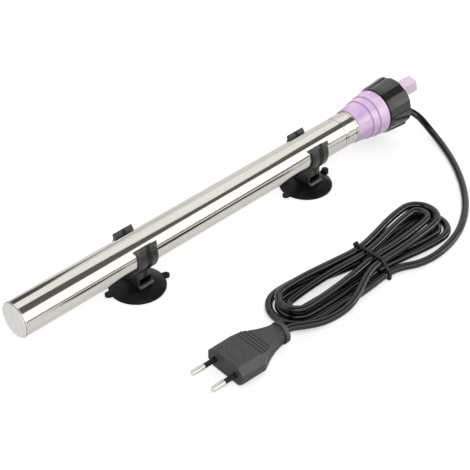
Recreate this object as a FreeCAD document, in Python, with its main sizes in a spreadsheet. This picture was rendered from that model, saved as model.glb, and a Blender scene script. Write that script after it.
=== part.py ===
import FreeCAD, Part
import math
import os
import re
import Sketcher

# Submersible aquarium heater: a steel tube on two clips with suction cups, a flared collar,
# a screw cap with a dial, and a mains cord bundled behind a flat plug.
# Millimetres. The tube runs along +X, +Z is up, the cups' rims stand on z = 0.
# Stations along the tube are measured from its blind end.

doc = FreeCAD.newDocument("aquarium_heater")
sizes = doc.addObject("Spreadsheet::Sheet", "Sizes")
V = FreeCAD.Vector


SIZES = {
    # Whole
    "axis_height": 31.0,  # tube axis above the cups' rims
    "clearance": 0.3,  # air between pieces that move past each other
    "fit": 0.05,  # radial clearance of a turning fit
    # Tube
    "tube_radius": 12.5,  # outer radius of the tube
    "tube_wall": 0.8,  # wall of the tube
    "tube_in_collar": 24.9,  # length of tube inside the collar
    "disc_thick": 1.5,  # rim of the end disc
    "disc_round": 1.0,  # rounding of the end disc's edge
    "disc_spigot": 2.0,  # part of the end disc inside the tube
    "groove_back": 14.8,  # first rolled groove to the collar
    "groove_pitch": 2.2,  # from the first rolled groove to the second
    "groove_width": 1.2,  # width of a rolled groove
    "groove_depth": 0.4,  # depth of a rolled groove
    "bead_back": 3.1,  # raised bead to the collar
    "bead_width": 1.8,  # width of the bead
    "bead_rise": 0.4,  # height of the bead over the tube
    # Collar
    "collar_at": 313.1,  # station where the collar starts
    "collar_start_radius": 13.4,  # collar radius at its start
    "cone_length": 13.0,  # length of the flared part
    "cone_radius": 15.0,  # radius at the end of the flare
    "ring_length": 7.0,  # length of the first ring
    "ring_radius": 16.1,  # radius at the end of the first ring
    "ring_step": 0.6,  # height of the step between rings
    "lip_length": 9.2,  # length of the second ring with its lip
    "lip_radius": 17.8,  # radius of the lip
    "lip_width": 1.0,  # width of the lip
    "spigot_radius": 15.0,  # radius of the threaded spigot in the cap
    "spigot_length": 8.0,  # length of the spigot
    # Cap
    "gasket_thick": 1.5,  # thickness of the cap's gasket
    "gasket_radius": 16.9,  # outer radius of the gasket
    "cap_length": 21.0,  # length of the cap
    "cap_edge_radius": 17.9,  # cap radius at its near edge
    "cap_chamfer": 3.2,  # length of the chamfer at the near edge
    "cap_near_radius": 19.2,  # cap radius after the chamfer
    "cap_far_radius": 20.6,  # cap radius at the far rim
    "cap_far_round": 0.9,  # rounding of the far rim
    "cap_wall": 5.0,  # thickness of the cap's end wall
    "grip_count": 8,  # number of grip grooves
    "grip_angle": 29.0,  # first grip groove, degrees from the top to the front
    "grip_half_width": 3.0,  # half the width of a grip groove
    "grip_depth": 1.0,  # depth of a grip groove
    "dial_radius": 9.6,  # radius of the raised dial on the end wall
    "dial_rise": 0.6,  # height of the raised dial
    # Knob
    "knob_rise": 6.0,  # knob axis above the tube axis
    "bush_radius": 4.0,  # radius of the spindle bush
    "bush_tail": 7.8,  # part of the bush inside the cap
    "bush_proud": 1.0,  # part of the bush outside the end wall
    "seal_seat_radius": 3.2,  # radius of the seal's seat in the bush
    "seal_seat_depth": 3.0,  # depth of that seat
    "seal_section": 0.55,  # radius of the seal's section
    "spindle_radius": 2.0,  # radius of the spindle
    "spindle_in_knob": 17.5,  # length of spindle inside the knob
    "knob_length": 21.3,  # length of the knob
    "knob_flat": 6.8,  # knob axis to each of its six flats
    "knob_turned": 15.0,  # turn of the knob's flats, degrees
    "knob_round": 1.3,  # rounding of the knob's edges
    "thread_root": 1.6,  # radius at the bottom of the spindle's grooves
    "clip_ring_radius": 3.6,  # radius of the spring ring
    "clip_ring_thick": 0.8,  # thickness of the spring ring
    # Thermostat
    "bung_flange": 3.0,  # thickness of the bung's flange
    "frame_past": 12.9,  # thermostat frame's end past the collar's start
    "frame_length": 64.0,  # length of the thermostat frame
    "frame_thick": 1.2,  # sheet of the frame
    "frame_drop": 9.4,  # underside of the frame below the tube axis
    "frame_half": 6.0,  # half width of the frame's foot
    "upright_half": 5.0,  # half width of the frame's upright
    "upright_top": 9.5,  # top of the upright above the tube axis
    "nut_back": 8.0,  # middle of the travelling nut to the frame's end
    "nut_half": 2.0,  # half length of the nut
    "nut_side": 3.1,  # half side of the square nut
    "nut_travel": 0.75,  # travel of the nut each way
    "blade_thick": 0.6,  # sheet of the fixed blade
    "blade_back": 11.7,  # fixed blade's leg to the frame's end
    "blade_low": 3.6,  # underside of the fixed blade above the tube axis
    "blade_tip_back": 28.0,  # fixed blade's free end to the frame's end
    "strip_half": 3.0,  # half width of blade and strip
    "strip_low": 1.0,  # underside of the strip above the tube axis
    "strip_thick": 0.8,  # thickness of the strip
    "strip_root_back": 59.0,  # strip's fixed end to the frame's end
    "strip_tip_back": 18.0,  # strip's free end to the frame's end
    "button_back": 23.0,  # contacts to the frame's end
    "button_radius": 1.6,  # radius of a contact
    "button_rise": 0.7,  # height of a contact
    "block_length": 10.0,  # length of an insulating block
    "block_half": 4.0,  # half width of an insulating block
    "magnet_length": 5.0,  # length of the magnet
    "magnet_top": -1.2,  # top of the magnet against the tube axis
    # Heating part
    "former_from": 17.0,  # station where the ceramic former starts
    "former_back": 86.0,  # former's end to the frame's end
    "former_radius": 9.0,  # radius of the former
    "coil_radius": 1.3,  # outside radius of the wound coil
    "coil_circle": 8.1,  # radius on which the coil's runs lie
    "coil_runs": 6,  # number of runs along the former
    "holder_thick": 2.0,  # thickness of a holder disc
    "holder_gap": 6.0,  # air between holder disc and former for the coil's turns
    "holder_boss": 3.0,  # radius of a holder's boss
    "sleeve_wall": 0.5,  # wall of the insulating sleeve
    "sleeve_back": 7.5,  # insulating sleeve's end to the frame's end
    # Inner wires
    "wire_radius": 0.9,  # radius of an inner wire
    "wire_split": 1.1,  # wire to cord axis where the wires leave the cord
    "wire_drop": 5.0,  # wires below the tube axis in the bung
    "neutral_side": 4.0,  # neutral wire from the middle, in the bung
    "live_side": 7.5,  # live wire from the middle, in the bung
    "fuse_back": 46.0,  # start of the fuse body to the frame's end
    "fuse_length": 12.0,  # length of the fuse body
    "fuse_radius": 1.7,  # radius of the fuse body
    "fuse_wire": 0.5,  # radius of the fuse's wires
    # Gland and cord
    "gland_drop": 12.2,  # cord gland below the tube axis
    "gland_radius": 3.6,  # radius of the gland in the wall
    "gland_flange": 4.6,  # radius of the gland's flange
    "gland_flange_thick": 1.8,  # thickness of the gland's flange
    "gland_tip_radius": 3.5,  # radius at the gland's tip
    "gland_proud": 5.0,  # gland outside the end wall
    "cord_radius": 2.75,  # radius of the mains cord
    "cord_in_gland": 3.0,  # cord inside the wall
    # Clips and cups
    "clip_near_at": -94.0,  # middle of the near clip along the tube
    "clip_far_at": 74.0,  # middle of the far clip along the tube
    "clip_half": 7.75,  # half width of a clip along the tube
    "clip_base": 1.3,  # thickness of a clip's arm in the recess
    "clip_rib": 2.2,  # thickness of a clip's arm at a rib
    "clip_recess": 1.7,  # half width of the recess between the ribs
    "clip_wrap": 38.0,  # arms' ends above the horizontal, degrees
    "lip_reach": 1.6,  # reach of an arm's lip past the rib
    "foot_half_x": 6.0,  # half length of the clip's foot along the tube
    "foot_half_y": 9.0,  # half width of the clip's foot across the tube
    "foot_bottom": 6.4,  # underside of the foot above the floor
    "head_radius": 4.6,  # radius of the cup's head
    "head_bottom": 9.3,  # underside of the cup's head above the floor
    "head_top": 12.7,  # top of the cup's head above the floor
    "neck_radius": 3.0,  # radius of the cup's neck
    "cup_radius": 20.0,  # radius of the cup's rim
    "cup_edge": 0.9,  # thickness of the rim
    "cup_land": 1.4,  # width of the flat under the rim
    "cup_hollow": 2.6,  # depth of the hollow under the cup
    "cup_crown": 6.0,  # top of the cup's dome above the floor
    "crown_radius": 7.0,  # radius of the cup's crown
    "tab_reach": 24.2,  # reach of a pull tab from the cup's middle
    "tab_half": 2.7,  # half width of a pull tab
    "tab_thick": 1.6,  # thickness of a pull tab
    "nub_radius": 2.8,  # radius of the far cup's raised nub
    "nub_rise": 4.2,  # height of that nub
    "near_cup_turned": -16.0,  # turn of the near cup, degrees
    # Plug
    "plug_x": -63.8,  # middle of the plug's flange, along the tube
    "plug_y": -107.0,  # middle of the plug's flange, across the tube
    "plug_z": 8.0,  # plug axis above the floor
    "plug_turned": -2.7,  # turn of the plug, degrees
    "plug_length": 49.0,  # flange to front face
    "plug_half_thick": 7.4,  # half thickness of the plug
    "plug_half_width": 16.8,  # half width of the plug
    "plug_grip_length": 19.0,  # length of the full width part
    "taper_radius": 45.0,  # hollow of the plug's tapering sides
    "facet_in": 5.2,  # plug's flat panels narrower than the plug, each side
    "facet_down": 4.6,  # height of a slanted side
    "plug_thinning": 0.075,  # thinning towards the neck, per length
    "plug_round": 1.0,  # rounding of the panels' edges
    "flange_radius": 7.9,  # radius of the flange at the cord
    "flange_thick": 3.0,  # thickness of that flange
    "neck_half": 4.9,  # half width of the tapering sides at the flange
    "neck_radius_back": 5.9,  # radius of the plug's neck at the flange
    "neck_radius_front": 5.2,  # radius of the neck's front end
    "neck_length": 12.0,  # length of the round neck
    "rib_from": 0.8,  # first finger groove behind the grip
    "rib_pitch": 2.6,  # pitch of the finger grooves
    "rib_width": 0.9,  # width of a finger groove
    "rib_sink": 0.4,  # depth of a finger groove
    "pin_spacing": 19.0,  # between the pins' axes
    "pin_radius": 2.0,  # radius of a pin
    "pin_root": 10.0,  # pin inside the plug
    "pin_bare": 10.0,  # bare metal of a pin
    "pin_out": 19.5,  # pin outside the plug
    "pin_sleeve_radius": 1.75,  # outer radius of a pin's sleeve
    "core_radius": 1.4,  # radius of a pin under its sleeve
    "sleeve_in": 2.0,  # pin sleeve inside the plug
    # Bundle
    "waist_x": 33.0,  # tie along the tube
    "waist_y": -97.5,  # middle of the bundle across the tube
    "lobe_skew": 5.0,  # the left loops' shift across the tube
    "lobe_skew_low": -3.0,  # the same for the lower layer's right loops
    "lobe_skew_high": 5.0,  # the same for the upper layer's right loops
    "left_run": 68.0,  # tie to the left loops' round ends
    "right_run": 59.0,  # tie to the right loops' round ends
    "loop_outer": 21.0,  # half width of the first loop
    "loop_inner": 5.6,  # half width of the tightest loop
    "loop_growth": 1.0,  # growth of half width in the first half turn on top
    "loop_growth_next": 5.8,  # growth of half width in the next half turn
    "loop_growth_last": 2.4,  # growth of half width after that
    "strand_pitch": 6.3,  # from one cord to the next where the tie holds them
    "waist_reach": 26.0,  # how far from the tie its pull reaches
    "layer_low": 3.75,  # height of the lower layer's middle
    "layer_step": 6.3,  # height from one layer to the next
    "tie_thick": 0.8,  # thickness of the tie
    "tie_half": 1.2,  # half width of the tie
}

for row, (name, number) in enumerate(SIZES.items(), 1):
    sizes.set("A%d" % row, name)
    sizes.set("B%d" % row, str(number))
    sizes.setAlias("B%d" % row, name)
doc.recompute()

word = re.compile(r"[a-z_]+[a-z]")


# Sizes and stations that follow from the driving ones
FOLLOWS = {
    "lip_end": "collar_at + cone_length + ring_length + lip_length",
    "cap_at": "lip_end + gasket_thick",
    "cap_end": "cap_at + cap_length",
    "wall_at": "cap_end - cap_wall",
    "bush_end": "cap_end + dial_rise + bush_proud",
    "knob_at": "bush_end + clearance",
    "ring_groove": "wall_at - bush_tail - clearance - clip_ring_thick",
    "seal_middle": "bush_end - seal_seat_depth / 2",
    "half_length": "(knob_at + knob_length) / 2",
    "tube_mouth": "collar_at + tube_in_collar",
    "groove_at": "collar_at - groove_back",
    "bead_at": "collar_at - bead_back",
    "frame_to": "collar_at + frame_past",
    "frame_from": "frame_to - frame_length",
    "nut_at": "frame_to - nut_back",
    "blade_at": "frame_to - blade_back",
    "blade_from": "frame_to - blade_tip_back",
    "strip_from": "frame_to - strip_root_back",
    "strip_to": "frame_to - strip_tip_back",
    "button_at": "frame_to - button_back",
    "fuse_from": "frame_to - fuse_back",
    "former_to": "frame_to - former_back",
    "sleeve_to": "frame_to - sleeve_back",
    "sleeve_radius": "tube_radius - tube_wall",
    "lining_radius": "tube_radius - tube_wall - sleeve_wall",
    "frame_top": "frame_thick - frame_drop",
}


def spell(match):
    name = match.group(0)
    if name in SIZES:
        return "Sizes." + name
    if name in FOLLOWS:
        return "(" + bound(FOLLOWS[name]) + ")"
    return name


def bound(text):
    """Write each size's name in an expression the way the document finds it."""
    return word.sub(spell, text)


def value(text):
    """Number of an expression."""
    return float(sizes.evalExpression(bound(text)))


def bind(thing, prop, text):
    thing.setExpression(prop, bound(text))


def new_body(name, x="0", y="0", z="0", turn=None):
    """Body whose origin stands at x, y, z and is turned about the vertical."""
    body = doc.addObject("PartDesign::Body", name)
    bind(body, "Placement.Base.x", x)
    bind(body, "Placement.Base.y", y)
    bind(body, "Placement.Base.z", z)
    if turn:
        body.Placement = FreeCAD.Placement(V(0, 0, 0), V(0, 0, 1), 1)
        bind(body, "Placement.Rotation.Angle", turn)
    return body


def new_sketch(body, name, plane, offset=None):
    """Empty sketch on one of the body's own planes, moved along its normal."""
    sketch = body.newObject("Sketcher::SketchObject", name)
    face = [f for f in body.Origin.OriginFeatures if f.Role == plane][0]
    sketch.AttachmentSupport = [(face, "")]
    sketch.MapMode = "FlatFace"
    if offset:
        bind(sketch, "AttachmentOffset.Base.z", offset)
    return sketch


def hold(sketch, geometry, end, across, up):
    """Tie one point of a sketch to two expressions."""
    for kind, axis, text in (("DistanceX", -2, across), ("DistanceY", -1, up)):
        number = value(text)
        if abs(number) < 1e-9:
            sketch.addConstraint(Sketcher.Constraint("PointOnObject", geometry, end, axis))
        else:
            rule = Sketcher.Constraint(kind, -1, 1, geometry, end, number)
            index = sketch.addConstraint(rule)
            bind(sketch, "Constraints[%d]" % index, text)


def outline(sketch, corners):
    """Closed outline. A corner is (across, up), or (across, up, radius, side) when an arc
    leads to it, with the arc's centre on the left (1) or the right (-1) of the way."""
    points = [V(value(c[0]), value(c[1]), 0) for c in corners]
    ends = []
    for i, corner in enumerate(corners):
        a = points[i - 1]
        b = points[i]
        if len(corner) == 2:
            index = sketch.addGeometry(Part.LineSegment(a, b), False)
            ends.append((index, 1, 2))
            continue
        radius = value(corner[2])
        chord = b - a
        half = chord.Length / 2
        left = V(-chord.y, chord.x, 0).normalize()
        centre = (a + b) * 0.5 + left * (corner[3] * math.sqrt(radius ** 2 - half ** 2))
        middle = centre + ((a + b) * 0.5 - centre).normalize() * radius
        index = sketch.addGeometry(Part.Arc(a, middle, b), False)
        starts = sketch.getPoint(index, 1).distanceToPoint(a) < 1e-6
        ends.append((index, 1, 2) if starts else (index, 2, 1))
        rule = Sketcher.Constraint("Radius", index, radius)
        bind(sketch, "Constraints[%d]" % sketch.addConstraint(rule), corner[2])
    for i, corner in enumerate(corners):
        index, first, last = ends[i]
        after, after_first, after_last = ends[(i + 1) % len(ends)]
        sketch.addConstraint(Sketcher.Constraint("Coincident", index, last, after, after_first))
        hold(sketch, index, last, corner[0], corner[1])


def circle(sketch, across, up, radius):
    """Circle with its centre and radius tied to expressions."""
    round_line = Part.Circle(V(value(across), value(up), 0), V(0, 0, 1), value(radius))
    index = sketch.addGeometry(round_line, False)
    hold(sketch, index, 3, across, up)
    rule = Sketcher.Constraint("Radius", index, value(radius))
    bind(sketch, "Constraints[%d]" % sketch.addConstraint(rule), radius)


def turn_profile(body, name, corners, axis="H_Axis", angle=None):
    """Revolve an outline drawn in the body's XZ plane."""
    sketch = new_sketch(body, name + "_profile", "XZ_Plane")
    outline(sketch, corners)
    turned = body.newObject("PartDesign::Revolution", name + "_turned")
    turned.Profile = sketch
    turned.ReferenceAxis = (sketch, [axis])
    if angle:
        turned.Midplane = True
        bind(turned, "Angle", angle)
    doc.recompute()
    return turned


def turned_piece(name, corners, rise="0"):
    """Piece turned about the tube axis, or about an axis above it."""
    body = new_body(name, "-half_length", "0", "axis_height + " + rise)
    turn_profile(body, name, corners)
    return body


def pad(body, name, sketch, length, middle=True):
    feature = body.newObject("PartDesign::Pad", name)
    feature.Profile = sketch
    feature.Midplane = middle
    bind(feature, "Length", length)
    doc.recompute()
    return feature


def cut(body, name, sketch, length=None):
    """Pocket against the sketch's normal, through everything if no length is given."""
    before = body.Shape.Volume
    feature = body.newObject("PartDesign::Pocket", name)
    feature.Profile = sketch
    if length:
        bind(feature, "Length", length)
    else:
        feature.Type = "ThroughAll"
    doc.recompute()
    if body.Shape.Volume > before - 0.01:
        raise RuntimeError(name + " cuts nothing")
    return feature


def box_on(body, name, x_from, x_to, half, low, high):
    """Block between two stations, drawn in the side view and padded across."""
    sketch = new_sketch(body, name + "_side", "XZ_Plane")
    outline(sketch, [(x_from, low), (x_to, low), (x_to, high), (x_from, high)])
    return pad(body, name, sketch, "2 * (" + half + ")")


def together(name, pieces):
    """One node made of several separate solids."""
    group = doc.addObject("Part::Compound", name)
    group.Links = pieces
    doc.recompute()
    return group


def round_edges(body, name, feature, radius, chosen):
    """Fillet the edges of a feature for which chosen(edge) holds."""
    edges = feature.Shape.Edges
    wanted = ["Edge%d" % (i + 1) for i, edge in enumerate(edges) if chosen(edge)]
    fillet = body.newObject("PartDesign::Fillet", name)
    fillet.Base = (feature, wanted)
    bind(fillet, "Radius", radius)
    doc.recompute()
    if fillet.Shape.isNull():
        raise RuntimeError(name + " did not round")
    return fillet


# The tube: two rolled grooves and a bead near its mouth.
GROOVE_TWO = "(groove_at + groove_pitch)"
sheath_tube = turned_piece("sheath_tube", [
    ("disc_thick", "tube_radius"),
    ("groove_at - groove_width / 2", "tube_radius"),
    ("groove_at", "tube_radius - groove_depth"),
    ("groove_at + groove_width / 2", "tube_radius"),
    (GROOVE_TWO + " - groove_width / 2", "tube_radius"),
    (GROOVE_TWO, "tube_radius - groove_depth"),
    (GROOVE_TWO + " + groove_width / 2", "tube_radius"),
    ("bead_at - bead_width / 2", "tube_radius"),
    ("bead_at - bead_width / 6", "tube_radius + bead_rise"),
    ("bead_at + bead_width / 6", "tube_radius + bead_rise"),
    ("bead_at + bead_width / 2", "tube_radius"),
    ("tube_mouth", "tube_radius"),
    ("tube_mouth", "sleeve_radius"),
    ("disc_thick", "sleeve_radius"),
])

# The blind end's disc sits on the tube's edge, with a spigot inside it.
end_disc = turned_piece("end_disc", [
    ("0", "0"),
    ("0", "tube_radius - disc_round"),
    ("disc_round", "tube_radius", "disc_round", -1),
    ("disc_thick", "tube_radius"),
    ("disc_thick", "sleeve_radius"),
    ("disc_thick + disc_spigot", "sleeve_radius"),
    ("disc_thick + disc_spigot", "0"),
])

# The collar flares over two stepped rings to a lip, with a spigot for the cap behind it.
CONE_END = "(collar_at + cone_length)"
RING_END = "(collar_at + cone_length + ring_length)"
collar = turned_piece("collar", [
    ("collar_at", "tube_radius"),
    ("collar_at", "collar_start_radius"),
    (CONE_END, "cone_radius"),
    (CONE_END, "cone_radius + ring_step"),
    (RING_END, "ring_radius"),
    (RING_END, "ring_radius + ring_step"),
    ("lip_end - 1.5 * lip_width", "lip_radius - ring_step / 2"),
    ("lip_end - lip_width", "lip_radius"),
    ("lip_end", "lip_radius"),
    ("lip_end", "spigot_radius"),
    ("lip_end + spigot_length", "spigot_radius"),
    ("lip_end + spigot_length", "tube_radius"),
])

cap_gasket = turned_piece("cap_gasket", [
    ("lip_end", "spigot_radius"),
    ("lip_end", "gasket_radius"),
    ("cap_at", "gasket_radius"),
    ("cap_at", "spigot_radius"),
])

# The bung closes the tube's mouth round the wires and the spindle.
bung = turned_piece("tube_bung", [
    ("frame_to", "0"),
    ("frame_to", "sleeve_radius"),
    ("tube_mouth", "sleeve_radius"),
    ("tube_mouth", "tube_radius"),
    ("tube_mouth + bung_flange", "tube_radius"),
    ("tube_mouth + bung_flange", "0"),
])
holes = new_sketch(bung, "bung_holes", "YZ_Plane", "tube_mouth + bung_flange + 1")
circle(holes, "0", "knob_rise", "spindle_radius + clearance")
circle(holes, "-neutral_side", "-wire_drop", "wire_radius")
circle(holes, "live_side", "-wire_drop", "wire_radius")
cut(bung, "bung_bores", holes)

# The cap: a cup with a thick end wall, a raised dial, two bores and tapered grip grooves.
cap = turned_piece("cap", [
    ("cap_at", "spigot_radius"),
    ("cap_at", "cap_edge_radius"),
    ("cap_at + cap_chamfer", "cap_near_radius"),
    ("cap_end - cap_far_round", "cap_far_radius"),
    ("cap_end", "cap_far_radius - cap_far_round", "cap_far_round", -1),
    ("cap_end", "0"),
    ("wall_at", "0"),
    ("wall_at", "spigot_radius"),
])
dial = new_sketch(cap, "dial_outline", "YZ_Plane", "cap_end")
circle(dial, "0", "knob_rise", "dial_radius")
pad(cap, "dial", dial, "dial_rise", middle=False)
bores = new_sketch(cap, "cap_bore_outline", "YZ_Plane", "bush_end")
circle(bores, "0", "knob_rise", "bush_radius")
circle(bores, "0", "-gland_drop", "gland_radius")
cut(cap, "cap_bores", bores)


def grip_section(name, station, floor):
    """Section of a grip groove: a slot with its floor at the given radius."""
    sketch = new_sketch(cap, name, "YZ_Plane", station)
    corners = []
    for side, depth in (("-", floor), ("+", floor), ("+", "22"), ("-", "22")):
        away = "grip_half_width"
        across = "-(%s) * sin(grip_angle) %s %s * cos(grip_angle)" % (depth, side, away)
        up = "(%s) * cos(grip_angle) %s %s * sin(grip_angle)" % (depth, side, away)
        corners.append((across, up))
    outline(sketch, corners)
    return sketch


near_section = grip_section("grip_near", "cap_at - 0.5", "cap_near_radius - grip_depth")
far_section = grip_section("grip_far", "cap_end + 0.5", "cap_far_radius - grip_depth")
groove = cap.newObject("PartDesign::SubtractiveLoft", "grip_groove")
groove.Profile = near_section
groove.Sections = [far_section]
doc.recompute()
ungrooved = cap.Shape.Volume
grips = cap.newObject("PartDesign::PolarPattern", "grip_grooves")
grips.Originals = [groove]
grips.Axis = ([f for f in cap.Origin.OriginFeatures if f.Role == "X_Axis"][0], [""])
grips.Angle = 360
bind(grips, "Occurrences", "grip_count")
cap.Tip = grips
doc.recompute()
if cap.Shape.Volume > ungrooved - 10:
    raise RuntimeError("the grip grooves were not repeated")

# Bush, spindle and knob share the dial's axis.
turned_piece("spindle_bush", [
    ("wall_at - bush_tail", "spindle_radius + fit"),
    ("wall_at - bush_tail", "bush_radius"),
    ("bush_end", "bush_radius"),
    ("bush_end", "seal_seat_radius"),
    ("bush_end - seal_seat_depth", "seal_seat_radius"),
    ("bush_end - seal_seat_depth", "spindle_radius + fit"),
], "knob_rise")

SPINDLE_FROM = "(blade_at + blade_thick + clearance)"
turned_piece("knob_spindle", [
    (SPINDLE_FROM, "0"),
    (SPINDLE_FROM, "spindle_radius - 2 * fit"),
    ("nut_at + nut_half + nut_travel + 1", "spindle_radius - 2 * fit"),
    ("nut_at + nut_half + nut_travel + 1", "spindle_radius"),
    ("ring_groove", "spindle_radius"),
    ("ring_groove", "thread_root"),
    ("ring_groove + clip_ring_thick", "thread_root"),
    ("ring_groove + clip_ring_thick", "spindle_radius"),
    ("knob_at + spindle_in_knob", "spindle_radius"),
    ("knob_at + spindle_in_knob", "0"),
], "knob_rise")

turned_piece("spindle_clip", [
    ("ring_groove", "thread_root"),
    ("ring_groove", "clip_ring_radius"),
    ("ring_groove + clip_ring_thick", "clip_ring_radius"),
    ("ring_groove + clip_ring_thick", "thread_root"),
], "knob_rise")

SEAL_CIRCLE = "(spindle_radius + seal_section)"
seal = new_body("spindle_o_ring", "-half_length", "0", "axis_height + knob_rise")
seal_section = new_sketch(seal, "seal_section_outline", "XZ_Plane")
circle(seal_section, "seal_middle", SEAL_CIRCLE, "seal_section")
seal_turned = seal.newObject("PartDesign::Revolution", "seal_turned")
seal_turned.Profile = seal_section
seal_turned.ReferenceAxis = (seal_section, ["H_Axis"])
doc.recompute()

# The knob: a six-sided stub with rounded edges, blind-bored for the spindle.
knob = new_body("temperature_knob", "-half_length + knob_at", "0", "axis_height + knob_rise")
hexagon = new_sketch(knob, "knob_outline", "YZ_Plane")
KNOB_CORNER = "knob_flat / cos(30)"
outline(hexagon, [
    ("%s * cos(knob_turned + %d)" % (KNOB_CORNER, 60 * i),
     "%s * sin(knob_turned + %d)" % (KNOB_CORNER, 60 * i)) for i in range(6)])
stub = pad(knob, "knob_stub", hexagon, "knob_length", middle=False)
knob_length = value("knob_length")


def knob_edge(edge):
    ends = [v.Point.x for v in edge.Vertexes]
    return max(ends) > knob_length - 0.01


round_edges(knob, "knob_rounded", stub, "knob_round", knob_edge)
socket = new_sketch(knob, "knob_socket_outline", "YZ_Plane", "spindle_in_knob")
circle(socket, "0", "0", "spindle_radius")
cut(knob, "knob_socket", socket, "spindle_in_knob")

# The nut on the spindle's thread is square, so the frame's upright keeps it from turning.
nut = new_body("adjuster_nut", "-half_length + nut_at", "0", "axis_height + knob_rise")
square = new_sketch(nut, "nut_outline", "YZ_Plane")
outline(square, [
    ("-nut_side", "-nut_side"),
    ("nut_side", "-nut_side"),
    ("nut_side", "nut_side"),
    ("-nut_side", "nut_side"),
])
circle(square, "0", "0", "spindle_radius")
pad(nut, "nut_block", square, "2 * nut_half")

# The thermostat's frame: a foot on the sleeve and an upright with the spindle's hole.
frame = new_body("thermostat_frame", "-half_length", "0", "axis_height")
box_on(frame, "frame_foot", "frame_from", "frame_to", "frame_half", "-frame_drop", "frame_top")
box_on(frame, "frame_upright", "frame_to - frame_thick", "frame_to", "upright_half",
       "frame_top", "upright_top")
passage = new_sketch(frame, "frame_hole_outline", "YZ_Plane", "frame_to + 1")
circle(passage, "0", "knob_rise", "spindle_radius + clearance")
cut(frame, "frame_hole", passage)

# Insulating blocks carry the strip and the fixed blade.
rear_block = new_body("strip_block", "-half_length", "0", "axis_height")
box_on(rear_block, "strip_block_pad", "strip_from", "strip_from + block_length", "block_half",
       "frame_top", "strip_low - clearance")
front_block = new_body("blade_block", "-half_length", "0", "axis_height")
box_on(front_block, "blade_block_pad", "blade_at - block_length / 4",
       "blade_at + block_length / 4", "block_half", "frame_top", "frame_top + 3")
together("insulating_blocks", [rear_block, front_block])

# The fixed blade stands on its block and reaches over the strip, with a contact below.
blade = new_body("fixed_contact_blade", "-half_length", "0", "axis_height")
side = new_sketch(blade, "blade_side", "XZ_Plane")
outline(side, [
    ("blade_at", "frame_top + 3"),
    ("blade_at + blade_thick", "frame_top + 3"),
    ("blade_at + blade_thick", "upright_top - 1"),
    ("blade_at", "upright_top - 1"),
    ("blade_at", "blade_low + blade_thick"),
    ("blade_from", "blade_low + blade_thick"),
    ("blade_from", "blade_low"),
    ("blade_at", "blade_low"),
])
pad(blade, "blade_sheet", side, "2 * strip_half")
button = new_sketch(blade, "blade_button_outline", "XY_Plane", "blade_low - button_rise")
circle(button, "button_at", "0", "button_radius")
pad(blade, "blade_button", button, "button_rise", middle=False)

# The strip bends away from the blade as it warms.
strip = new_body("bimetal_strip", "-half_length", "0", "axis_height")
box_on(strip, "strip_sheet", "strip_from", "strip_to", "strip_half", "strip_low",
       "strip_low + strip_thick")
button = new_sketch(strip, "strip_button_outline", "XY_Plane", "strip_low + strip_thick")
circle(button, "button_at", "0", "button_radius")
pad(strip, "strip_button", button, "button_rise", middle=False)

magnet = new_body("thermostat_magnet", "-half_length", "0", "axis_height")
box_on(magnet, "magnet_block", "blade_from - magnet_length", "blade_from", "strip_half",
       "frame_top", "magnet_top")

# The former: a ceramic rod with a flute for each run of the coil.
former = new_body("heater_former", "-half_length", "0", "axis_height")
rod = new_sketch(former, "former_outline", "YZ_Plane", "former_from")
circle(rod, "0", "0", "former_radius")
pad(former, "former_rod", rod, "former_to - former_from", middle=False)
flute = new_sketch(former, "flute_outline", "YZ_Plane", "former_to + 1")
circle(flute, "coil_circle", "0", "coil_radius")
fluted = cut(former, "former_flute", flute)
flutes = former.newObject("PartDesign::PolarPattern", "former_flutes")
flutes.Originals = [fluted]
flutes.Axis = ([f for f in former.Origin.OriginFeatures if f.Role == "X_Axis"][0], [""])
flutes.Angle = 360
bind(flutes, "Occurrences", "coil_runs")
former.Tip = flutes
doc.recompute()


def tube_along(name, edges, radius):
    """Round solid along tangent lines and arcs; its volume must match section times length."""
    wire = Part.Wire(edges)
    start = edges[0].valueAt(edges[0].FirstParameter)
    heading = edges[0].tangentAt(edges[0].FirstParameter)
    ring = Part.Wire([Part.Circle(start, heading, radius).toShape()])
    shell = Part.BRepOffsetAPI.MakePipeShell(wire)
    shell.add(ring)
    shell.build()
    shell.makeSolid()
    solid = shell.shape()
    if solid.Volume < 0:
        solid.reverse()
    expected = math.pi * radius ** 2 * wire.Length
    print("%s: length %.1f mm, volume %.3f of section times length"
          % (name, wire.Length, solid.Volume / expected))
    if not solid.isValid() or abs(solid.Volume / expected - 1) > 0.01:
        raise RuntimeError(name + " is not a clean tube")
    piece = doc.addObject("Part::Feature", name)
    piece.Shape = solid
    return piece


# The coil runs along each flute and turns round at the ends.
runs = int(value("coil_runs"))
coil_circle = value("coil_circle")
coil_from = value("former_from - half_length")
coil_to = value("former_to - half_length")
turn_reach = coil_circle * math.sin(math.pi / runs)
middle_height = value("axis_height")


def on_coil(run, x):
    angle = 2 * math.pi * run / runs
    return V(x, coil_circle * math.cos(angle), middle_height + coil_circle * math.sin(angle))


coil = []
for run in range(runs):
    start, end = (coil_from, coil_to) if run % 2 == 0 else (coil_to, coil_from)
    coil.append(Part.LineSegment(on_coil(run, start), on_coil(run, end)).toShape())
    if run < runs - 1:
        here = on_coil(run, end)
        there = on_coil(run + 1, end)
        reach = turn_reach if end > start else -turn_reach
        top = (here + there) * 0.5 + V(reach, 0, 0)
        coil.append(Part.Arc(here, top, there).toShape())
tube_along("heater_winding", coil, value("coil_radius"))

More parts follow.
